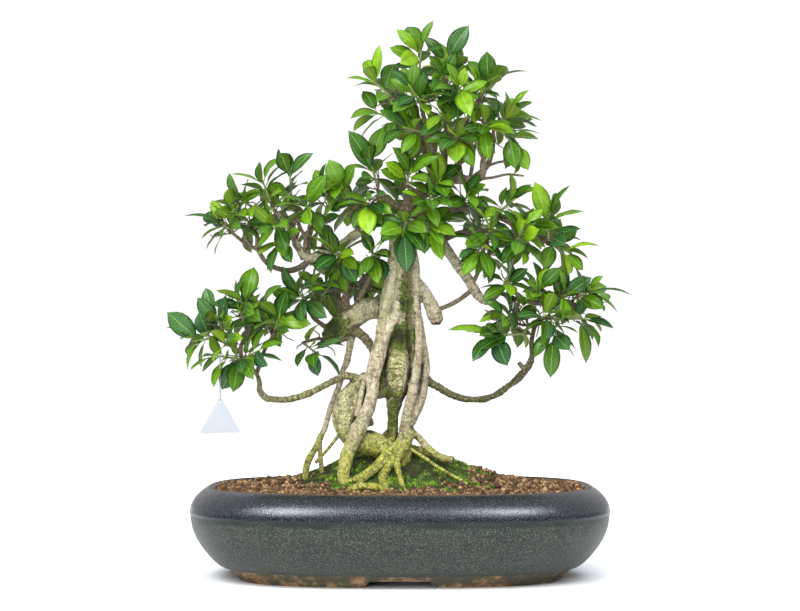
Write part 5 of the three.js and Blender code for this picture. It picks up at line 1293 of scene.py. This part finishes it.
def make_wood(surface):
    """The trunk, roots and boughs as one skin, with bark that follows each limb."""
    wood, line = wood_skin()
    points, normals = points_and_normals(wood.data)
    search = kdtree.KDTree(len(line))
    for i, (point, _, _, _) in enumerate(line):
        search.insert(Vector(point), i)
    search.balance()
    count = len(points)
    looks = np.zeros((count, 3))
    rings, lift, crevice_shade = np.zeros((3, count))
    reach = CREVICE_SHADE_REACH * MM
    for i in range(count):
        total = 0.0
        best = (math.inf, 0)
        for _, near, distance in search.find_n(Vector(points[i]), NEAR_POINTS):
            _, radius, _, look = line[near]
            gap = max(distance - radius, 0.0) + LEAST_GAP * MM
            weight = 1 / gap ** 2
            looks[i] += np.array(look) * weight
            total += weight
            if gap < best[0]:
                best = (gap, near)
        looks[i] /= total
        _, radius, rings[i], _ = line[best[1]]
        # Painted shade darkens the crevices, where the wood of some limb is near the skin on its outer side
        probe = Vector(points[i] + normals[i] * CREVICE_SHADE_REACH * MM)
        gap = min(distance - line[near][1] for _, near, distance in search.find_n(probe, NEAR_POINTS))
        crevice_shade[i] = 1.25 * (1 - gap / reach)
        lift[i] = bark_relief(points[i] / MM, rings[i] / MM, radius / MM, looks[i][0])
    crevice_shade = np.clip(crevice_shade - lift * 0.16, 0, 1)
    points += normals * (lift * MM)[:, None]
    wood.data.vertices.foreach_set("co", points.ravel())
    set_attribute(wood, "bark_look", looks)
    set_attribute(wood, "bark_place", np.stack([moss_on_wood(points) + crevice_shade * 0.3, rings, crevice_shade], 1))
    wood.data.polygons.foreach_set("use_smooth", [True] * len(wood.data.polygons))
    wood.data.update()
    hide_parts("trunk_and_branches")
    finish_piece(wood, "bark", surface)


def unit(vector):
    return vector / np.linalg.norm(vector)


def crooked(start, end, bend, luck):
    """A path between two points with a few soft kinks."""
    length = np.linalg.norm(end - start)
    middle = [start + (end - start) * share + any_way(luck) * bend * length for share in KINKS]
    return smooth_path([start, *middle, end], TWIG_STEPS)


def add_twig(pile, path, radii, sides, look):
    """Adds a twig whose bark is ringed along its length."""
    vertices, faces = tube(path, radii, sides)
    place = np.zeros((len(vertices), 3))
    place[:, 1] = np.linalg.norm(np.array(vertices) - path[0], axis=1)
    pile.add(vertices, faces, bark_look=look, bark_place=place)


def make_twigs(surface, stems):
    """The thin wood: limbs too slim for the remesh, and a twig from the nearest bough to every shoot."""
    luck = random.Random(SEED + 2)
    pile = Pile()
    leafy = [rows for name, rows in LIMBS.items() if not name.startswith(WOOD_WITHOUT_LEAVES)]
    boughs = np.concatenate([limb_path(rows, BOUGH_STEPS)[0][2:] for rows in leafy])
    for name, rows in LIMBS.items():
        if is_thick(rows):
            continue
        path, radii = limb_path(rows, SLIM_LIMB_STEPS)
        wobble = np.array([noise.noise(Vector(point) / MM * 0.09) for point in path])
        add_twig(pile, path, radii * (1 + 0.22 * wobble), SLIM_LIMB_SIDES, bark_look_of(name))
    for base, tip in stems:
        base = np.array(base) * MM
        way = unit(np.array(tip) * MM - base)
        start = boughs[np.linalg.norm(boughs - base, axis=1).argmin()]
        path = np.concatenate([crooked(start, base - way * 6 * MM, TWIG_BEND, luck), [base + way * MM]])
        add_twig(pile, path, np.linspace(*TWIG_RADII, len(path)) * MM, TWIG_SIDES, TWIG_LOOK)
        for _ in range(BARE_TWIGS_PER_SHOOT):
            fork = path[luck.randrange(2, len(path) - 2)]
            reach = np.array([luck.gauss(0, 1), luck.gauss(0, 1), luck.gauss(0.4, 0.8)])
            end = fork + unit(reach + way) * luck.uniform(*BARE_TWIG_LENGTHS) * MM
            twig = crooked(fork, end, BARE_TWIG_BEND, luck)
            vertices, faces = tube(twig, np.linspace(*BARE_TWIG_RADII, len(twig)) * MM, BARE_TWIG_SIDES)
            pile.add(vertices, faces, bark_look=BARE_TWIG_LOOK, bark_place=(0, 0, 0))
    finish_piece(pile.piece("thin_twigs"), "bark", surface)


def leaf_of(base, along, side, normal, length, width):
    return {"base": base, "along": along, "side": side, "normal": normal, "length": length, "width": width}


def corner_pairs(mesh):
    """The places of a CAD shoot's corners, and which pairs of corners of the blades follow each other.

    A blade's outline has five pairs of corners, one on each face. Where the wall between two pairs is drawn,
    an edge crosses it from one face to the other.
    """
    partner = {}
    for edge in mesh.edges:
        a, b = edge.verts
        if abs((a.co - b.co).length / MM - CAD_THICKNESS) < 0.02:
            partner.setdefault(a.index, []).append(b.index)
            partner.setdefault(b.index, []).append(a.index)
    place = {v.index: np.array(v.co) for v in mesh.verts}
    links = {}
    for edge in mesh.edges:
        a, b = (v.index for v in edge.verts)
        if a not in partner or b not in partner or b in partner[a]:
            continue
        for c in partner[a]:
            for d in partner[b]:
                if unit(place[c] - place[a]).dot(unit(place[d] - place[b])) < -0.999:
                    pair_a = frozenset((a, c))
                    pair_b = frozenset((b, d))
                    links.setdefault(pair_a, set()).add(pair_b)
                    links.setdefault(pair_b, set()).add(pair_a)
    return place, links


def leaf_from(middles, across):
    """A leaf from the middles of its five pairs and the way from one face to the other."""
    normal = unit(across)
    wide = (middles[0] + middles[4]) / 2
    narrow = (middles[1] + middles[3]) / 2
    way = narrow - wide
    way -= normal * way.dot(normal)
    length = np.linalg.norm(way) / (CAD_STATIONS[1] - CAD_STATIONS[0])
    along = unit(way)
    base = middles[2] - along * length
    if (wide - base).dot(normal) < 0:
        normal = -normal
    width = np.linalg.norm(middles[4] - middles[0])
    return leaf_of(base, along, np.cross(normal, along), normal, length, width)


def cad_leaves(node):
    """The leaves of a CAD shoot, read from its mesh as chains of corner pairs from one side round the tip."""
    mesh = bmesh.new()
    mesh.from_mesh(node.data)
    bmesh.ops.remove_doubles(mesh, verts=mesh.verts, dist=1e-6)
    place, links = corner_pairs(mesh)
    mesh.free()
    leaves = []
    seen = set()
    for start in sorted(links, key=lambda pair: tuple(sorted(pair))):
        if start in seen or len(links[start]) != 1:
            continue
        chain = []
        onward = [start]
        while onward:
            chain.append(onward[0])
            seen.add(onward[0])
            onward = [pair for pair in links[onward[0]] if pair not in seen]
        if len(chain) not in (CAD_PAIRS, CAD_PAIRS + 2):
            continue
        chain = chain[(len(chain) - CAD_PAIRS) // 2:][:CAD_PAIRS]
        middles = [sum(place[i] for i in pair) / 2 for pair in chain]
        first, second = sorted(chain[0])
        leaves.append(leaf_from(middles, place[first] - place[second]))
    leaves.sort(key=lambda leaf: tuple(np.round(leaf["base"] / MM, 1)))
    return leaves


def rise_at(leaf, share):
    """How high an arched leaf is over the straight line from its foot to its tip."""
    return BLADE_ARCH * leaf["length"] * 4 * share * (1 - share)


def probes(leaf):
    """Points along a leaf that stand for it when room is looked for."""
    made = []
    for share, reach in LEAF_PROBES:
        middle = leaf["base"] + leaf["along"] * leaf["length"] * share
        middle = middle + leaf["normal"] * rise_at(leaf, share)
        sideways = leaf["side"] * leaf["width"] * reach
        made.extend([middle, middle + sideways, middle - sideways])
    return np.array(made)


class Room:
    """The probes of all leaves so far, to keep new leaves clear of them."""

    def __init__(self):
        self.points = np.zeros((0, 3))

    def add(self, leaf):
        self.points = np.concatenate([self.points, probes(leaf)])

    def fits(self, leaf, gap):
        offsets = probes(leaf)[:, None, :] - self.points[None, :, :]
        return (offsets ** 2).sum(2).min() > gap ** 2

    def add_drawn(self, leaves, gap, tries, draw):
        """Adds the first drawn leaf that has room."""
        for _ in range(tries):
            leaf = draw()
            if self.fits(leaf, gap * MM):
                self.add(leaf)
                leaves.append(leaf)
                return


def spiral_leaf(base, tip, number, luck):
    """A leaf on the spiral round a stem, wide of it low down and more in line with it at the tip."""
    start = np.array(base) * MM
    stem = np.array(tip) * MM - start
    up = unit(stem)
    side = unit(np.cross(up, SPIRAL_SEAM))
    other = np.cross(up, side)
    step = number / (LEAVES_PER_SPIRAL - 1)
    turn = number * SPIRAL_TURN + luck.uniform(-0.5, 0.5)
    spread = math.radians(LOW_SPREAD - SPREAD_LOSS * step + luck.uniform(-SPREAD_LUCK, SPREAD_LUCK))
    out = math.cos(turn) * side + math.sin(turn) * other
    along = up * math.cos(spread) + out * math.sin(spread)
    along[2] -= 0.15 * luck.random()
    along = unit(along)
    length = (PETIOLE + LEAF_LENGTH * luck.uniform(*LENGTH_SHARES)) * MM
    foot = start + stem * (0.1 + 0.85 * step)
    outward = unit(np.array([foot[0] * 0.4, foot[1] - 0.02, 0.0]))
    angle = math.radians(luck.uniform(*FACING_ANGLES))
    facing = np.array([0, 0, math.cos(angle)]) + outward * math.sin(angle)
    normal = unit(facing - along * facing.dot(along))
    width = LEAF_WIDTH_RATIO * length * luck.uniform(*WIDTH_SHARES)
    return leaf_of(foot, along, np.cross(normal, along), normal, length, width)


def tint_of(leaf, luck):
    """How yellow, how blue and how light a leaf is."""
    tip = leaf["base"] + leaf["along"] * leaf["length"]
    for place, tint in MARKED_COLOURS:
        if tip[1] < 0 and np.linalg.norm(tip[[0, 2]] / MM - np.array(place)) < MARK_REACH:
            return tint
    _, y, z = leaf["base"] / MM
    # Painted shade: leaves behind are bluer and darker, leaves in front lighter; low leaves are bluer, partly
    # as a painted sheen
    shade = 0.8 if y > BACK_Y else 0.4
    yellow = luck.random() ** 6 * 0.9
    blue = luck.random() ** 2 * shade * (1.3 if z > CROWN_Z else 2.6)
    return (yellow, min(blue, 1.0), luck.random() ** (0.8 if y < FRONT_Y else 1.5))


def leaf_stations(leaf, fold):
    """Rows from the stalk to the tip: way along, half width, slope of the fold and share of the blade."""
    stalk = PETIOLE * MM
    blade = leaf["length"] - stalk
    stations = [(share * stalk, PETIOLE_RADIUS * MM, 0.0, share * 0.02) for share in PETIOLE_STATIONS]
    for share, half in BLADE_OUTLINE:
        half_width = max(half * leaf["width"] / 2, LEAST_HALF_WIDTH * MM)
        stations.append((stalk + share * blade, half_width, fold * min(share * 6, 1.0), share))
    return stations


def fine_leaf(leaf, luck):
    """The vertices and faces of a leaf with its stalk, and each vertex's place on it."""
    length = leaf["length"]
    fold = math.tan(math.radians(luck.uniform(*FOLD_ANGLES)))
    droop = luck.uniform(*DROOPS) * length
    ripple = luck.uniform(*RIPPLES) * MM
    phase = luck.uniform(0, ABOUT_A_TURN)
    twist = luck.gauss(0, 0.12)
    sideways = luck.gauss(0, 0.012) * length
    stations = leaf_stations(leaf, fold)
    vertices, places = [], []
    for distance, half_width, slope, share in stations:
        u = distance / length
        bend = math.sin(math.pi * u)
        centre = leaf["base"] + leaf["along"] * distance + leaf["side"] * sideways * bend
        rise = rise_at(leaf, u) - droop * u ** 3
        turn = twist * share
        side = leaf["side"] * math.cos(turn) + leaf["normal"] * math.sin(turn)
        up = leaf["normal"] * math.cos(turn) - leaf["side"] * math.sin(turn)
        on_stalk = slope == 0.0
        thick = (PETIOLE_RADIUS if on_stalk else LEAF_THICKNESS / 2) * MM
        for across, face in BLADE_SECTION:
            away = abs(across)
            height = rise + slope * half_width * away
            height += ripple * away ** 2 * math.sin(phase + share * 14 + (2 if across > 0 else 0)) * bend
            if not on_stalk and across == 0:
                height += (-0.25 if face > 0 else -0.35) * MM * (1 - share)
            height += face * thick * math.sqrt(max(1 - away ** 2, 0))
            vertices.append(centre + side * half_width * across + up * height)
            places.append((share, across, 0.0 if face > 0 else 1.0))
    ring = len(BLADE_SECTION)
    faces = [(a, d, c, b) for a, b, c, d in wall_faces(len(stations), ring)]
    faces.append(tuple(range(ring)))
    faces.append(tuple(range(len(vertices) - 1, len(vertices) - ring - 1, -1)))
    return vertices, faces, places


def add_stem(pile, base, tip, luck):
    """Adds a green stem with a slim pointed bud at its end."""
    path = crooked(np.array(base) * MM, np.array(tip) * MM, STEM_BEND, luck)
    stem = tube(path, np.linspace(*STEM_RADII, len(path)) * MM, STEM_SIDES)
    pile.add(*stem, kind=1, leaf_place=(0, 0, 0), leaf_tint=(0, 0, 0))
    way = unit(np.array(tip, float) - np.array(base))
    end = np.array(tip) * MM
    path = np.array([end + way * distance * MM for distance, _ in BUD])
    bud = tube(path, np.array([radius for _, radius in BUD]) * MM, STEM_SIDES)
    pile.add(*bud, kind=0, leaf_place=(0.5, 0.4, 1), leaf_tint=(0.9, 0, 0.5))


def make_leaves(leaf_surface, stem_surface):
    luck = random.Random(SEED + 3)
    room = Room()
    shoots = {}
    for name, ends in STEMS.items():
        shoots.setdefault(name.replace("_fork", ""), []).append(ends)
    found = {}
    for name in sorted(shoots):
        found[name] = cad_leaves(nodes["shoot_" + name])
        for leaf in found[name]:
            room.add(leaf)
    for name in sorted(shoots):
        extra = EXTRA_LEAVES_PER_CROWN_STEM if name.startswith("crown") else EXTRA_LEAVES_PER_STEM
        for stem in shoots[name]:
            for _ in range(extra):
                room.add_drawn(
                    found[name], EXTRA_LEAF_GAP, EXTRA_LEAF_TRIES,
                    lambda: spiral_leaf(*stem, luck.randrange(LEAVES_PER_SPIRAL), luck),
                )
    for region, stems in EXTRA_STEMS.items():
        name = "extra_" + region
        shoots[name] = stems
        found[name] = []
        for stem in stems:
            for number in range(LEAVES_PER_SPIRAL):
                room.add_drawn(
                    found[name], SPIRAL_LEAF_GAP, SPIRAL_LEAF_TRIES, lambda: spiral_leaf(*stem, number, luck),
                )
    for name, stems in shoots.items():
        pile = Pile()
        for base, tip in stems:
            add_stem(pile, base, tip, luck)
        for leaf in found[name]:
            vertices, faces, places = fine_leaf(leaf, luck)
            pile.add(vertices, faces, kind=0, leaf_place=places, leaf_tint=tint_of(leaf, luck))
        piece = pile.piece("leaves_" + name)
        if not name.startswith("extra_"):
            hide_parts("shoot_" + name)
        finish_piece(piece, "leaf", leaf_surface, stem_surface)


def dress(name, made):
    """Gives a CAD node that shows itself its material."""
    node = nodes[name]
    node.data.materials.clear()
    node.data.materials.append(made)


def make_stage():
    made = floor_material()
    half = FLOOR_HALF_WIDTH
    corners = [(-half, -half, 0), (half, -half, 0), (half, half, 0), (-half, half, 0)]
    floor = mesh_object("studio_floor", corners, [(0, 1, 2, 3)], False)
    floor.data.materials.append(made)


def add_lamp(light, place, way, is_glossy):
    lamp = bpy.data.objects.new(light.name, light)
    lamp.visible_glossy = is_glossy
    lamp.location = place
    lamp.rotation_euler = way.to_track_quat("-Z", "Y").to_euler()
    bpy.context.scene.collection.objects.link(lamp)


def make_light():
    """A soft sun, four soft boxes and a pale room. The camera sees the room as a white backdrop."""
    world = bpy.data.worlds.new("studio")
    bpy.context.scene.world = world
    world.use_nodes = True
    n = Nodes(world.node_tree)
    seen = n.add("ShaderNodeLightPath").outputs["Is Camera Ray"]
    strength = n.ramp(seen, 0.0, 1.0, ROOM_LIGHT, BACKDROP_LIGHT)
    background = n.add("ShaderNodeBackground", {"Color": (1, 1, 1, 1), "Strength": strength})
    n.add("ShaderNodeOutputWorld", {"Surface": background.outputs[0]})
    sun = bpy.data.lights.new("sun", "SUN")
    sun.energy = SUN_LIGHT
    sun.angle = math.radians(SUN_SOFTNESS)
    add_lamp(sun, (0, 0, 0), Vector(SUN_WAY), False)
    for name, place, size, power, is_glossy in SOFT_BOXES:
        light = bpy.data.lights.new(name, "AREA")
        light.size = size
        light.energy = power
        light.color = SOFT_BOX_COLOUR
        add_lamp(light, place, Vector(SOFT_BOX_AIM) - Vector(place), is_glossy)


def make_camera():
    camera = bpy.data.cameras.new("camera")
    camera.lens = CAMERA_LENS
    camera.sensor_width = CAMERA_SENSOR
    holder = bpy.data.objects.new("camera", camera)
    holder.location = CAMERA_PLACE
    holder.rotation_euler = (math.radians(90), 0, 0)
    bpy.context.scene.collection.objects.link(holder)
    bpy.context.scene.camera = holder


make_camera()
make_light()
make_stage()
bpy.context.scene.view_settings.view_transform = "Standard"

bark = bark_material()
soil = soil_material()
make_pot()
make_soil(soil)
make_granules(soil)
make_moss(moss_material())
make_wood(bark)
make_twigs(bark, [*STEMS.values(), *(ends for group in EXTRA_STEMS.values() for ends in group)])
make_leaves(leaf_material(), stem_material())
for name, *look in PLASTICS:
    dress(name, plastic_material(*look))
